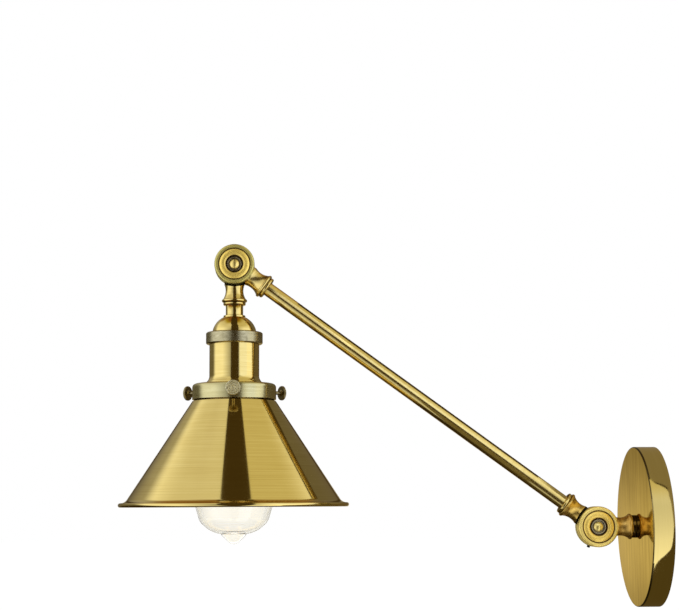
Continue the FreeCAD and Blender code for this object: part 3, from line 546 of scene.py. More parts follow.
# thumbscrew heads: a lighter copy of aged brass on the outer face (painted light) and a darker copy on the edge,
# underside and shank (painted shade)
M_THUMB = turned_metal("aged_brass_thumbscrew", rough=(0.44, 0.52), aniso=0.0, sweep=0.8, coarse=1.0, fine=0.5, lines=0.02,
                       light=(0.92, 0.82, 0.48), mid=(0.80, 0.70, 0.38), dark=(0.60, 0.51, 0.25),
                       patina_and_shade=(0.03, 0.024, 0.014), patina_and_shade_reach=0.7, patina_and_shade_amount=0.9)
M_THUMB_SHADED_BACK = turned_metal("aged_brass_thumbscrew_shaded_back", rough=(0.22, 0.32), aniso=0.0, sweep=3.0, coarse=1.0, fine=0.5, lines=0.05,
                            light=(0.36, 0.29, 0.135), mid=(0.26, 0.205, 0.09), dark=(0.16, 0.12, 0.05),
                            patina_and_shade=(0.02, 0.016, 0.009), patina_and_shade_reach=0.7, patina_and_shade_amount=0.8)
M_STEEL = plain_metal("plated_steel", (0.74, 0.73, 0.70), (0.64, 0.63, 0.60), (0.50, 0.49, 0.46))
M_WASHER = turned_metal("washer_steel", rough=(0.26, 0.36), aniso=0.0, sweep=0.9, coarse=0.5, fine=0.4, lines=0.03,
                        light=(0.46, 0.395, 0.25), mid=(0.37, 0.315, 0.19), dark=(0.26, 0.215, 0.125), patina_and_shade=(0.02, 0.016, 0.008),
                        patina_and_shade_reach=0.9, patina_and_shade_amount=0.7)
M_BLACK = plain_metal("black_steel", (0.055, 0.052, 0.05), (0.035, 0.033, 0.032), (0.02, 0.02, 0.02), rough=(0.3, 0.5))
M_GREEN = dull("green_paint", (0.03, 0.22, 0.06), (0.018, 0.15, 0.04), rough=(0.3, 0.45), coat=0.3)
M_NYLON = dull("nylon", (0.80, 0.79, 0.74), (0.70, 0.69, 0.64), rough=(0.45, 0.6))
M_WIRE = dull("wire_jacket", (0.045, 0.045, 0.045), (0.025, 0.025, 0.025), rough=(0.4, 0.55), grain=1500.0)
M_CLAY = dull("glazed_ceramic", (0.86, 0.84, 0.80), (0.78, 0.76, 0.71), rough=(0.15, 0.28), coat=0.5, bumpy=0.05)
M_SCREW = plain_metal("screw_brass", (0.80, 0.62, 0.26), (0.70, 0.52, 0.20), (0.52, 0.37, 0.13))
M_CAP = plain_metal("bulb_metal", (0.80, 0.78, 0.72), (0.70, 0.68, 0.62), (0.55, 0.53, 0.48))
M_VITRITE = dull("black_vitrite", (0.02, 0.02, 0.022), (0.012, 0.012, 0.013), rough=(0.12, 0.25), coat=0.4)
M_WIRES = plain_metal("support_wire", (0.66, 0.64, 0.60), (0.55, 0.53, 0.50), (0.42, 0.40, 0.38))


def glass_material():
    m, t, b = material("bulb_glass")
    where = spot(t)
    b.inputs["Base Color"].default_value = (1.0, 0.985, 0.935, 1.0)
    b.inputs["Transmission Weight"].default_value = 1.0
    b.inputs["IOR"].default_value = 1.46
    t.put(t.span(t.noise(where, 30.0, 2.0), 0.3, 0.7, 0.0, 0.006, "LINEAR"), b.inputs["Roughness"])
    return m


def filament_material():
    m, t, b = material("filament")
    where = spot(t)
    v = t.noise(where, 900.0, 2.0)
    t.put(t.mix(t.span(v, 0.3, 0.7), (0.95, 0.55, 0.12), (1.0, 0.72, 0.28)), b.inputs["Base Color"])
    b.inputs["Roughness"].default_value = 0.5
    t.put(t.mix(t.span(v, 0.3, 0.7), (1.0, 0.62, 0.25), (1.0, 0.78, 0.42)), b.inputs["Emission Color"])
    b.inputs["Emission Strength"].default_value = 3.0
    return m


M_GLASS = glass_material()
M_FILAMENT = filament_material()


def dress(o, *mats):
    o.data.materials.clear()
    for m in mats:
        o.data.materials.append(m)
    return o


def piece(o, body, nodes, slot, *mats):
    if mats:
        dress(o, *mats)
    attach(o, body)
    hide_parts(*([nodes] if isinstance(nodes, str) else nodes))
    return o


# --------------------------------------------------------------------- wall base
o = lathe("canopy", WALL, [
    (63.5, 0.0), (63.5, 15.6), (63.5, 16.2, 0.8, 1), (62.7, 17.0), (5.3, 17.0), (5.3, 15.8), (62.3, 15.8), (62.3, 0.0)],
    seg=256, soft=0.2, fine=9)
cut = lathe("cut", place((-8.5, 0, 0), (0, 0, 1), (1, 0, 0)), [(0, -70), (2.05, -70), (2.05, 70), (0, 70)], seg=48, soft=0)
reshade(join_cut(o, [cut], "DIFFERENCE"))
dress(o, M_SIDE, M_FACE, M_EDGE_SHADE, M_EDGE_SHADE_DARK)
# painted shade on the rounded front edge: narrower round the middle height, with the lighter dark copy in a stretch
# across the middle
for f in o.data.polygons:
    far = math.hypot(f.center.x, f.center.y)
    high = (WALL @ f.center).z
    edge_lighter_band = -0.011 < high < 0.021
    thin = -0.027 < high < 0.036
    if f.center.z > 0.01690 and f.normal.z > 0.95:
        f.material_index = 1
    elif f.center.z > (0.01615 if thin else 0.01558) and far > 0.0624:
        f.material_index = 2 if edge_lighter_band else 3
piece(o, "wall_base", "canopy_cover", "brushed_brass")

# the collar takes the painted-shade brass
o = lathe("neck_collar", NECK_S, flip([
    (27.65, 5.03), (30.45, 5.03), (30.45, 8.5, 0.5, 1), (29.95, 9.0), (28.15, 9.0, 0.5, 1), (27.65, 8.5)]), soft=0.15, fine=15)
piece(o, "wall_base", "neck_ring", "brushed_brass", M_NECK_RING_SHADE)


# ---------------------------------------------------------------------- knuckles
DISC = [(2.55, 0.25), (16.2, 0.25), (16.2, 6.5, 1.8, 1), (14.4, 8.3), (13.1, 8.3), (12.85, 7.4), (12.35, 7.4),
        (12.1, 8.0, 5, 1), (7.5, 8.5), (7.0, 8.1), (7.0, 5.2), (2.55, 5.2)]


def knuckle(name, at, end, root, curve, lap, bore, turn, stub_metal, disc_face):
    """A half of a lap joint: a turned disc on a waisted stub."""
    disc = lathe(name, at, DISC, seg=160, soft=0.16, fine=9)
    side = at @ Matrix.Rotation(turn, 4, "Z") @ Matrix(((0, 0, 1, 0), (1, 0, 0, 0), (0, 1, 0, 0), (0, 0, 0, 1)))
    stub = lathe("stub", side, flip([
        (9.5, 0), (end, 0), (end, 9.3), (end - 0.35, 9.85), (end - 0.9, 10.15), (end - 1.6, 10.15), (end - 2.15, 9.85), (end - 2.5, 9.3, curve, -1),
        (16.3, root), (9.5, root - 0.1)]),
        seg=128, soft=0.12, fine=4)
    join_cut(disc, [stub], "UNION")
    space = lathe("space", at, [(0, -14.75), (lap, -14.75), (lap, 0.25), (0, 0.25)], seg=160, soft=0)
    hole = lathe("hole", side, [(0, end - 9.4), (bore, end - 9.4), (bore, end + 1), (0, end + 1)], seg=64, soft=0)
    join_cut(disc, [space, hole], "DIFFERENCE")
    reshade(disc)
    dress(disc, disc_face, stub_metal, M_LAP_SHADOW)
    for f in disc.data.polygons:
        far = math.hypot(f.center.x, f.center.y)
        # the lap's floor and wall take the painted shadow; faces beyond the disc's edge take the stub metal
        if f.center.z < 0.00026 and far < lap * MM + 0.00005:
            f.material_index = 2
        elif far > 0.01622:
            f.material_index = 1
    return disc


for name, at, end, root, curve, bore, turn, stub_metal, body, node in (
        ("knuckle_neck", NECK_K, 27.6, 7.4, 11, 5.03, 0.0, M_NECK, "wall_base", "neck_knuckle"),
        ("knuckle_arm_low", LOW_K, 30.6, 8.15, 12.2, 5.63, 0.0, M_STUB_SATIN, "arm", "arm_knuckle_lower"),
        ("knuckle_arm_up", UP_K0, 30.6, 8.15, 12.2, 5.63, UP_TURN, M_STUB_UP, "arm", "arm_knuckle_upper"),
        ("knuckle_head", HEAD_K, 30.6, 8.15, 12.2, 5.03, 0.0, M_STUB, "head", "head_knuckle")):
    disc_face = M_DISC_WALL if name == "knuckle_neck" else M_DISC
    piece(knuckle(name, at, end, root, curve, 18.3, bore, turn, stub_metal, disc_face), body, node, "brushed_brass")

for name, front, rear, body in (("wall", NECK_K, LOW_K, "wall_base"), ("head", UP_K, HEAD_K, "arm")):
    o = lathe(name + "_bolt", front, [
        (0, -9.2), (2.5, -9.2), (2.5, 6.05), (4, 6.05), (4, 7.0, 5.6, 1), (0.4, 8.7), (0, 8.7)], seg=96, soft=0.15, fine=4)
    piece(o, body, name + "_pivot_bolt", "brushed_brass", M_BOLT)
    o = lathe(name + "_cup", front, [
        (2.6, 5.24), (6, 5.24), (6, 7.5), (5.7, 7.8), (5.2, 7.8), (4.9, 7.5), (4.9, 6.0), (2.6, 6.0)], seg=96, soft=0.12)
    piece(o, body, name + "_cup_washer", "plated_steel", M_WASHER)
    # domed cap nut: a hexagon with chamfered corners under a turned dome
    bm = bmesh.new()
    flat = 4.0
    rows = [(7.25, 0.5), (7.6, 0.0), (9.6, 0.0), (10.0, 0.42)]
    rings = []
    for z, cutback in rows:
        ring = []
        for k in range(96):
            a = 2 * math.pi * k / 96
            t = (a - math.radians(30) + math.radians(30)) % math.radians(60) - math.radians(30)
            r = min(flat / math.cos(t), flat / math.cos(math.radians(30)) - cutback)
            ring.append(bm.verts.new((r * math.cos(a) * MM, r * math.sin(a) * MM, z * MM)))
        rings.append(ring)
    dome = trace([(3.9, 10.05), (3.9, 10.1, 4.2, 1), (0.4, 12.2), (0, 12.2)], closed=False, fine=5)
    for p in dome:
        if p.x < 1e-6:
            rings.append([bm.verts.new((0, 0, p.y * MM))])
        else:
            rings.append([bm.verts.new((p.x * math.cos(2 * math.pi * k / 96) * MM, p.x * math.sin(2 * math.pi * k / 96) * MM, p.y * MM))
                          for k in range(96)])
    rings.append([bm.verts.new((2.52 * math.cos(2 * math.pi * k / 96) * MM, 2.52 * math.sin(2 * math.pi * k / 96) * MM, 7.25 * MM))
                  for k in range(96)])
    rings.append([bm.verts.new((2.52 * math.cos(2 * math.pi * k / 96) * MM, 2.52 * math.sin(2 * math.pi * k / 96) * MM, 9.8 * MM))
                  for k in range(96)])
    order = [rings[-1], rings[-2]] + rings[:-2]
    for a, b in zip(order, order[1:]):
        for j in range(96):
            k = (j + 1) % 96
            if len(b) == 1:
                bm.faces.new((a[j], a[k], b[0]))
            else:
                bm.faces.new((a[j], a[k], b[k], b[j]))
    bm.faces.new(rings[-1])
    o = finish_mesh(name + "_dome_nut", bm, rear, sharp=28)
    piece(o, body, name + "_cap_nut", "brushed_brass", M_BRASS)

ga = math.radians(-104.1)
at = LOW_K @ place((0, 0, 4.4), (math.cos(ga), math.sin(ga), 0), (0, 0, 1))
o = lathe("wall_grub", at, [(0, 10.7), (0.85, 10.7), (1.25, 11.1), (1.25, 17.5), (0.95, 17.8), (0.65, 17.8), (0.65, 16.6), (0, 16.6)],
          seg=48, soft=0.06)
piece(o, "arm", "wall_grub_screw", "black_steel", M_BLACK)

# --------------------------------------------------------------------------- arm
o = lathe("arm_rod", ARMF, [(4.6, 21.4), (5.6, 21.4), (5.6, 338.1), (4.6, 338.1)], seg=96, soft=0.2)
piece(o, "arm", "arm_tube", "brushed_brass", M_ROD)
ROD = o


def collar(name, at, z0, z1, bore):
    return lathe(name, at, [(bore, z0), (8.0, z0, 1.0, 1), (9, z0 + 1.0), (9, z1 - 1.0, 1.0, 1), (8.0, z1), (bore, z1)], soft=0.1, fine=10)


piece(collar("arm_collar_low", ARMF, 30.65, 33.2, 5.63), "arm", "arm_ring_lower", "brushed_brass", M_BRASS)
piece(collar("arm_collar_up", ARMF, ARM_LEN - 33.2, ARM_LEN - 30.65, 5.63), "arm", "arm_ring_upper", "brushed_brass", M_BRASS)

# -------------------------------------------------------------------------- head
piece(collar("stem_collar", HEAD, 30.65, 33.15, 5.03), "head", "stem_ring", "brushed_brass", M_BRASS)
o = lathe("stem", HEAD, [(5.2, 33.2), (7, 33.2), (7, 41.4), (5.2, 41.4)], seg=96, soft=0.15)
piece(o, "head", "stem_tube", "brushed_brass", M_BRASS)
o = lathe("dome_cap", HEAD, [
    (5.2, 41.4), (8.8, 41.4), (8.8, 43), (9.4, 43, 16.06, 1), (17.8, 55.4), (17.8, 57.9), (19.6, 57.9), (19.6, 58.9), (16.6, 58.9),
    (16.6, 55.4, 14.86, -1), (9.09, 44.2), (5.2, 44.2)], seg=160, soft=0.3, fine=4)
piece(o, "head", "socket_cap", "brushed_brass", M_BRASS)


def tri(x):
    return abs((x % 1.0) * 2 - 1)


KN = 120
KP = 1.19


def diamond(i, r, a, z):
    if r < 22.79 or z < 56.05 or z > 63.75:
        return r
    u = KN * a / (2 * math.pi)
    w = (z - 56.0) / KP
    return r - 0.055 * (1 - min(tri(u + w), tri(u - w)))


rows = [(18.1, 55.2), (22.0, 55.2), (22.75, 55.95)]
k = 52
rows += [(22.8, 56.0 + 7.8 * j / k) for j in range(k + 1)]
rows += [(22.75, 63.85), (22.0, 64.6), (20.2, 64.6), (20.2, 57.85), (18.1, 57.85)]
bm = bmesh.new()
spin_into(bm, [Vector(p) for p in rows], KN * 6, diamond)
o = finish_mesh("knurled_nut", bm, HEAD, sharp=60)
piece(o, "head", "knurled_ring", "antique_brass", M_KNURL)

o = lathe("cup", HEAD, [
    (20, 59), (20, 90.6, 6.5, -1), (21.75, 94.6), (22.6, 96.55), (21.7, 96.55), (20.85, 94.8), (19.1, 90.9), (19.1, 59)],
    seg=160, soft=0.25, fine=4)
piece(o, "head", "socket_shell", "brushed_brass", M_BRASS)

o = lathe("fitter", HEAD, [
    (17, 96.6), (30.6, 96.6, 3, 1), (33.6, 99.6), (33.6, 109.4), (32.4, 109.4), (32.4, 99.6, 1.8, -1), (30.6, 97.8), (17, 97.8)],
    seg=192, soft=0.35, fine=6)
cuts = []
for u in ((0, -1, 0), (-math.sqrt(0.75), 0.5, 0), (math.sqrt(0.75), 0.5, 0)):
    cuts.append(lathe("cut", place(HEAD_JOINT + Vector((0, 0, -102.5)), u, (0, 0, 1)),
                      [(0, 25), (1.55, 25), (1.55, 40), (0, 40)], seg=32, soft=0))
reshade(join_cut(o, cuts, "DIFFERENCE"))
piece(o, "head", "shade_fitter", "antique_brass", M_AGED)

o = lathe("cone_shade", HEAD, [
    (30.2, 98.6), (30.2, 99.5), (28.4, 99.5), (28.4, 109.9), (29.2, 110.5), (33.1, 110.5), (33.5, 110.6),
    (84.56, 188.6, 6.2, -1), (89.9, 191.2, 1.7, 1), (91.6, 192.9, 1.7, 1), (89.9, 194.6, 1.7, 1), (88.2, 192.9),
    (83.98, 189.8), (83.48, 188.6), (33.02, 111.5), (27.5, 111.4), (27.5, 98.6)], seg=256, soft=0.18, fine=6)
piece(o, "head", "shade", "brushed_brass", M_SHADE)


def screw_edge(i, r, a, z):
    if 5.55 < r:
        return r - 0.22 * tri(a * 40 / (2 * math.pi))
    return r


for name, u, body in (("front", (0, -1, 0), "thumb_front"), ("left", (-math.sqrt(0.75), 0.5, 0), "thumb_left"),
                      ("right", (math.sqrt(0.75), 0.5, 0), "thumb_right")):
    o = lathe("thumb_" + name, place(HEAD_JOINT + Vector((0, 0, -102.5)), u, (0, 0, 1)), [
        (0, 28.5), (1.0, 28.5), (1.5, 29.2), (1.5, 42.4), (2.6, 43.2), (5.5, 43.2), (5.9, 43.6), (5.9, 44.9), (5.5, 45.3),
        (4.9, 45.3), (4.5, 44.7), (4.1, 44.7), (3.7, 45.25), (3.1, 45.25), (2.8, 44.85), (2.4, 44.85), (2.1, 45.25), (1.4, 45.25),
        (0.9, 44.6), (0, 44.5)], seg=160, soft=0.12, shape=screw_edge, sharp=50)
    # outer face in the painted-light copy, the rest in the painted-shade copy
    dress(o, M_THUMB_SHADED_BACK, M_THUMB)
    for f in o.data.polygons:
        if f.center.z > 0.0444:
            f.material_index = 1
    piece(o, body, "thumbscrew_" + name, "antique_brass")

# -------------------------------------------------------------------------- bulb
o = lathe("bulb_envelope", HEAD, [
    (12.0, 104.5), (12.6, 108.5), (26.47, 150, 107.2, 1), (32, 184, 39.8, 1), (30.3, 195.5), (27.9, 203.5, 10, 1),
    (24.6, 208.4, 26, 1), (13.4, 215.1), (10.0, 215.8), (9.2, 217.4), (4.6, 221.75, 6.4, 1), (0.4, 223.6), (0, 223.6),
    (0, 222.7), (0.4, 222.7, 5.5, -1), (3.96, 221.11), (8.4, 216.9), (9.5, 215.0), (13.1, 214.25, 25.1, -1),
    (24.04, 207.7, 9.1, -1), (27.04, 203.24), (29.44, 195.24, 38.9, -1), (31.1, 184, 106.3, -1), (25.62, 150.29),
    (11.75, 108.79), (11.1, 104.5)], seg=160, soft=0.4, fine=3, sharp=60)
piece(o, "head", "bulb_glass", "bulb_glass", M_GLASS)

# carried-over pieces
for names, m in (
        (("mounting_strap", "canopy_screws", "canopy_nipple", "lock_washer", "canopy_nut", "wall_flat_washer", "wall_spring_washer",
          "wall_stop_pin", "head_flat_washer", "head_spring_washer", "head_stop_pin", "head_nipple", "head_nut", "terminal_screws",
          "clamp_ring"), M_STEEL),
        (("ground_screw",), M_GREEN),
        (("wall_friction_ring", "head_friction_ring"), M_NYLON),
        (("supply_leads", "arm_leads", "head_leads"), M_WIRE),
        (("socket_core",), M_CLAY),
        (("screw_shell", "centre_contact"), M_SCREW),
        (("bulb_cap", "bulb_contact"), M_CAP),
        (("bulb_insulator",), M_VITRITE),
        (("bulb_stem",), M_GLASS),
        (("bulb_filaments",), M_FILAMENT),
        (("filament_supports",), M_WIRES)):
    for n in names:
        for s in NODES[n].material_slots:
            s.material = m

# ------------------------------------------------------------------------- stage
bm = bmesh.new()
bmesh.ops.create_grid(bm, x_segments=1, y_segments=1, size=30)
floor = finish_mesh("floor", bm, Matrix.Translation((0, 0, -0.62)))
m, t, b = material("floor_paint")
b.inputs["Base Color"].default_value = (0.86, 0.86, 0.855, 1)
b.inputs["Roughness"].default_value = 0.9
b.inputs["Emission Color"].default_value = (1, 1, 1, 1)
b.inputs["Emission Strength"].default_value = 0.55
dress(floor, m)
floor.visible_glossy = False

# A soft tent of light round the lamp, with an open slit where the lamp is seen from.
C = Vector((-0.33, 0, 0.1))
bm = bmesh.new()
bmesh.ops.create_uvsphere(bm, u_segments=96, v_segments=48, radius=1.3)
tent = finish_mesh("tent", bm, Matrix.Translation(C))
m = bpy.data.materials.new("tent_light")
m.use_nodes = True
t = Tree(m.node_tree)
out = t.node("ShaderNodeOutputMaterial")
glow = t.node("ShaderNodeEmission")
t.t.links.new(glow.outputs[0], out.inputs["Surface"])
d = t.vec("NORMALIZE", spot(t))
dx, dy, dz = t.split(d)


def side_of(normal):
    return t.vec("DOT_PRODUCT", d, tuple(Vector(normal).normalized()))


def tint(colour, factor):
    n = t.node("ShaderNodeVectorMath", operation="SCALE")
    n.inputs[0].default_value = colour
    t.put(factor, n.inputs["Scale"])
    return n.outputs[0]


DARK = (0.060, 0.042, 0.016)
FRONT = (1.20, 1.28, 1.50)
OVER_LEFT = (0.80, 0.82, 0.84)
OVER_RIGHT = (0.69, 0.665, 0.49)
in_r = side_of((0.9325, 0.3486, -0.0975))
out_r = side_of((-0.0775, -0.8285, 0.5546))
in_l = side_of((-0.9645, 0.251, -0.0811))
high = t.span(dz, 0.45, 0.80)
# behind, low and in the slit
back_right = t.mix(t.span(dz, 0.05, 0.35), (0.135, 0.11, 0.07), (0.165, 0.155, 0.135))
colour = t.mix(t.span(out_r, -0.115, -0.085), back_right, DARK)
colour = t.mix(t.span(dx, -0.05, 0.05), DARK, colour)
# right panel
gain = t.math("MULTIPLY", t.span(in_r, 0.0, 0.42, 0.52, 1.0, "LINEAR"), t.span(dz, -0.35, 0.35, 1.25, 1.0, "LINEAR"))
panel = t.mix(high, tint(FRONT, gain), OVER_RIGHT)
mask = t.math("MULTIPLY", t.span(in_r, -0.012, 0.012), t.span(t.math("ADD", out_r, t.span(dz, -0.60, -0.85, 0.0, 0.30)), -0.02, 0.02))
colour = t.mix(mask, colour, panel)
# left panel, fading round to the back
panel = t.mix(high, tint(FRONT, t.span(in_l, 0.0, 0.62, 0.36, 1.0, "LINEAR")), OVER_LEFT)
back_left = t.mix(t.span(dz, 0.10, 0.50), (0.16, 0.155, 0.13), (0.43, 0.445, 0.48))
back_left = t.mix(t.span(dz, -0.30, -0.10), (0.03, 0.02, 0.008), back_left)
panel = t.mix(t.span(t.math("SUBTRACT", dy, t.math("MULTIPLY", dz, 0.6)), -0.06, 0.32), panel, back_left)
colour = t.mix(t.span(in_l, -0.012, 0.012), colour, panel)
# brown high behind
mask = t.math("MULTIPLY", t.span(dy, 0.0, 0.30), t.math("MULTIPLY", t.span(dz, 0.55, 0.68), t.span(t.math("ABSOLUTE", dx), 0.45, 0.60, 1.0, 0.0)))
colour = t.mix(t.math("MULTIPLY", mask, 0.9), colour, (0.38, 0.25, 0.13))
mask = t.math("MULTIPLY", t.span(t.math("ABSOLUTE", t.math("ADD", dx, 0.05)), 0.10, 0.55, 0.88, 0.0),
              t.math("MULTIPLY", t.span(dy, -0.30, 0.0), t.span(dz, 0.45, 0.65)))
colour = t.mix(mask, colour, (0.24, 0.135, 0.03))
wide = t.math("ADD", t.math("ABSOLUTE", t.math("SUBTRACT", dx, 0.01)), t.math("MULTIPLY", dy, 0.14))
mask = t.math("MULTIPLY", t.span(wide, 0.155, 0.205, 1.0, 0.0), t.math("MULTIPLY", t.span(dy, -0.25, -0.10), t.span(dz, 0.30, 0.45)))
colour = t.mix(mask, colour, DARK)
# dark above the back, a soft glow straight behind, dark below
colour = t.mix(t.math("MULTIPLY", t.span(dy, 0.89, 0.95), t.span(dz, 0.06, 0.12)), colour, DARK)
glow_at = t.span(t.math("ABSOLUTE", t.math("ADD", dz, 0.115)), 0.0, 0.15, 1.0, 0.0)
spot_back = t.mix(glow_at, (0.29, 0.245, 0.135), (0.62, 0.55, 0.335))
mask = t.math("MULTIPLY", t.span(t.math("ABSOLUTE", t.math("SUBTRACT", dx, 0.03)), 0.16, 0.34, 1.0, 0.0),
              t.math("MULTIPLY", t.span(dy, 0.80, 0.90), t.span(dz, 0.10, 0.05)))
colour = t.mix(mask, colour, spot_back)
colour = t.mix(t.span(dz, -0.88, -0.95), colour, (0.085, 0.067, 0.03))
t.put(colour, glow.inputs["Color"])
glow.inputs["Strength"].default_value = 1.0
m.cycles.emission_sampling = "NONE"
dress(tent, m)
tent.visible_camera = False
tent.visible_diffuse = False
tent.visible_transmission = False
tent.visible_shadow = False
tent.visible_volume_scatter = False


def flag(name, corners, colour, at=Matrix.Identity(4), only=None):
    """A flat card that only reflections see. The colour is a value, or a function that makes it from the card's nodes.
    With 'only', the card is a clear glow that lights that one object."""
    bm = bmesh.new()
    bm.faces.new([bm.verts.new(c) for c in corners])
    o = finish_mesh(name, bm, at)
    m = bpy.data.materials.new(name)
    m.use_nodes = True
    t = Tree(m.node_tree)
    out = t.node("ShaderNodeOutputMaterial")
    e = t.node("ShaderNodeEmission")
    if only is None:
        t.t.links.new(e.outputs[0], out.inputs["Surface"])
    else:
        both = t.node("ShaderNodeAddShader")
        t.t.links.new(t.node("ShaderNodeBsdfTransparent").outputs[0], both.inputs[0])
        t.t.links.new(e.outputs[0], both.inputs[1])
        t.t.links.new(both.outputs[0], out.inputs["Surface"])
        lit = bpy.data.collections.new(name + "_lit")
        lit.objects.link(only)
        o.light_linking.receiver_collection = lit
    if callable(colour):
        t.put(colour(t), e.inputs["Color"])
    else:
        e.inputs["Color"].default_value = (*colour, 1.0)
    m.cycles.emission_sampling = "NONE"
    dress(o, m)
    o.visible_camera = False
    o.visible_diffuse = False
    o.visible_transmission = False
    o.visible_shadow = False
    o.visible_volume_scatter = False


# cards round the canopy's side, and one along the rod
OVER = (0.26, 0.235, 0.185)
UNDER = (0.085, 0.067, 0.03)
LINE = (0.07, 0.055, 0.025)
FRONT_AT = -0.074


def upright(name, outline, colour):
    flag(name, [(x, FRONT_AT, z) for x, z in outline], colour)


EDGE_OVER = [(0.0034, 0.12), (0.0018, 0.105), (0.0002, 0.0921), (-0.0007, 0.082), (-0.0009, 0.0735), (0.0008, 0.066), (0.0022, 0.0609), (0.0033, 0.0549),
             (0.0034, 0.048), (0.0024, 0.0379), (0.0019, 0.027), (0.0015, 0.0183), (0.0014, 0.0073), (0.0014, 0.0)]
EDGE_UNDER = [(0.0014, 0.0), (0.0010, -0.0107), (0.0006, -0.020), (0.0002, -0.0243), (-0.0014, -0.0285), (-0.0030, -0.033), (-0.0055, -0.039),
              (-0.0068, -0.0447), (-0.0072, -0.053), (-0.0066, -0.062), (-0.0056, -0.0717), (-0.0050, -0.085), (-0.0050, -0.12)]
flag("flag_over", [(-0.006, 0.30, 0.12), (-0.006, -0.018, 0.12), (-0.003, -0.034, 0.12), (0.0006, -0.055, 0.12), (0.0028, -0.069, 0.12), (0.0034, FRONT_AT, 0.12),
                   (0.30, FRONT_AT, 0.12), (0.30, 0.30, 0.12)], OVER)
upright("flag_over_front", EDGE_OVER + [(0.30, 0.0), (0.30, 0.12)], OVER)
flag("flag_over_line", [(x - 0.0001, FRONT_AT + 0.0006, z) for x, z in EDGE_OVER[:9]]
     + [(x + 0.0012, FRONT_AT + 0.0006, z + 0.008) for x, z in reversed(EDGE_OVER[:9])], LINE)
flag("flag_under", [(-0.0050, 0.30, -0.12), (-0.0050, FRONT_AT, -0.12), (0.30, FRONT_AT, -0.12), (0.30, 0.30, -0.12)], UNDER)
upright("flag_under_front", EDGE_UNDER + [(0.30, -0.12), (0.30, 0.0)], UNDER)


def off_rod(along, turn, off=0.25):
    """A point off the rod, turned from straight in front towards its upper side."""
    n = Vector((math.sin(ARM_ANGLE), 0, math.cos(ARM_ANGLE)))
    a = math.radians(turn)
    return (WALL_JOINT + ARM * along) * MM + off * (n * math.sin(a) + Vector((0, -math.cos(a), 0)))


flag("flag_rod", [off_rod(40, 8), off_rod(255, 8), off_rod(255, 42), off_rod(40, 42)], (1.15, 1.28, 1.70))
flag("flag_rod_head", [off_rod(245, 8, 0.06), off_rod(324, 8, 0.06), off_rod(324, 42, 0.06), off_rod(245, 42, 0.06)], (0.76, 0.84, 1.14), only=ROD)
flag("flag_rod_under", [off_rod(60, -14, 0.05), off_rod(190, -14, 0.05), off_rod(145, -70, 0.05), off_rod(60, -70, 0.05)], (0.17, 0.15, 0.095))
flag("flag_rod_edge", [off_rod(60, 76, 0.018), off_rod(300, 76, 0.018), off_rod(300, 150, 0.018), off_rod(60, 150, 0.018)], (0.06, 0.045, 0.018))


def over_dome(t):
    """Brown over the dome, with the dark slit going on through it."""
    x, y, _ = t.split(spot(t))
    far = t.math("ABSOLUTE", x)
    left = t.span(x, -0.001, 0.001, 1.0, 0.0)
    m_left = t.math("MULTIPLY", t.span(far, 0.005, 0.022, 1.0, 0.0), t.span(y, -0.026, -0.014))
    m_right = t.math("MULTIPLY", t.span(far, 0.003, 0.017, 1.0, 0.0), t.span(y, -0.025, -0.013))
    m = t.math("ADD", t.math("MULTIPLY", m_left, left), t.math("MULTIPLY", m_right, t.math("SUBTRACT", 1.0, left)))
    keep = t.join(t.math("SUBTRACT", 1.0, t.math("MULTIPLY", m, 0.68)), t.math("SUBTRACT", 1.0, t.math("MULTIPLY", m, 0.86)),
                  t.math("SUBTRACT", 1.0, t.math("MULTIPLY", t.math("MINIMUM", t.math("MULTIPLY", m, 1.6), 1.0), 0.94)))
    colour = t.vec("MULTIPLY", t.mix(left, OVER_RIGHT, OVER_LEFT), keep)
    return t.mix(t.span(t.math("ADD", far, t.math("MULTIPLY", y, 0.205)), 0.0014, 0.0028, 1.0, 0.0), colour, DARK)


flag("flag_dome", [(-0.024, -0.026, 0), (0.019, -0.026, 0), (0.019, -0.005, 0), (-0.024, -0.005, 0)], over_dome,
     Matrix.Translation((HEAD_JOINT + Vector((0, 0, -33.4))) * MM))


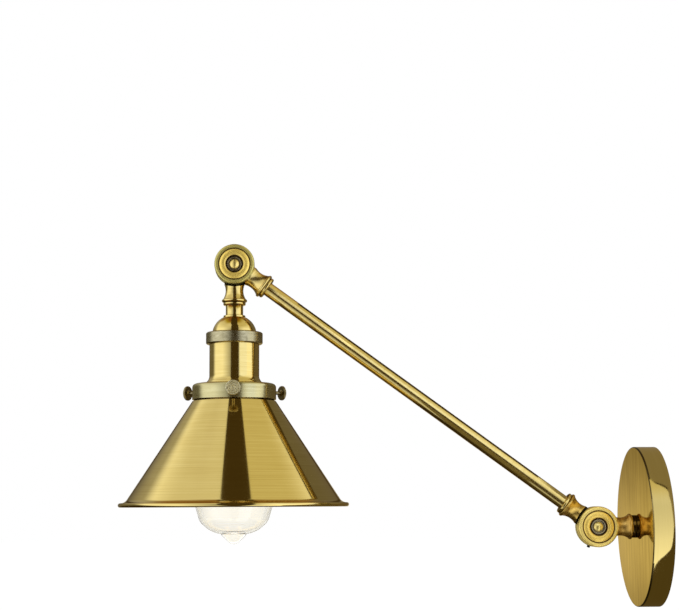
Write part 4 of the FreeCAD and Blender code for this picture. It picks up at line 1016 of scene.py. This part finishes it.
def area(name, location, target, size, power, colour=(1, 1, 1)):
    l = bpy.data.lights.new(name, "AREA")
    l.shape = "RECTANGLE"
    l.size, l.size_y = size
    l.energy = power
    l.color = colour
    o = bpy.data.objects.new(name, l)
    scene.collection.objects.link(o)
    o.location = location
    o.rotation_euler = (Vector(target) - Vector(location)).to_track_quat("-Z", "Y").to_euler()
    o.visible_camera = False
    o.visible_glossy = False
    o.visible_transmission = False
    return o


area("key", (-1.6, -1.8, 1.8), (-0.2, 0, 0), (1.6, 1.6), 38)
area("fill", (1.5, -1.6, 1.2), (-0.2, 0, 0), (1.4, 1.6), 22)
area("rear", (0.6, 2.0, 1.6), (-0.2, 0, 0), (1.6, 1.4), 22)

world = bpy.data.worlds.new("studio")
scene.world = world
world.use_nodes = True
t = Tree(world.node_tree)
out = t.node("ShaderNodeOutputWorld")
bg = t.node("ShaderNodeBackground")
t.t.links.new(bg.outputs[0], out.inputs["Surface"])
path = t.node("ShaderNodeLightPath")
seen = t.math("MAXIMUM", path.outputs["Is Camera Ray"], path.outputs["Is Transmission Ray"])
t.put(t.mix(seen, (0.55, 0.55, 0.54), (1.0, 1.0, 1.0)), bg.inputs["Color"])
bg.inputs["Strength"].default_value = 1.0

scene.view_settings.view_transform = "Standard"
scene.view_settings.look = "None"

# ------------------------------------------------------------------------ camera
cam = bpy.data.objects.new("camera", bpy.data.cameras.new("camera"))
scene.collection.objects.link(cam)
yaw, pitch, roll = (math.radians(a) for a in (2.519, 7.289, -0.325))
fw = Vector((math.sin(yaw) * math.cos(pitch), math.cos(yaw) * math.cos(pitch), math.sin(pitch)))
rt = Vector((math.cos(yaw), -math.sin(yaw), 0))
up = rt.cross(fw)
r = rt * math.cos(roll) + up * math.sin(roll)
u = up * math.cos(roll) - rt * math.sin(roll)
m = Matrix.Identity(4)
for i in range(3):
    m[i][0], m[i][1], m[i][2] = r[i], u[i], -fw[i]
m.translation = Vector((-308.895, -1270.0, 16.603)) * MM
cam.matrix_world = m
cam.data.sensor_fit = "HORIZONTAL"
cam.data.sensor_width = 36.0
cam.data.lens = 83.83
cam.data.clip_start = 0.05
cam.data.clip_end = 100.0
scene.camera = cam
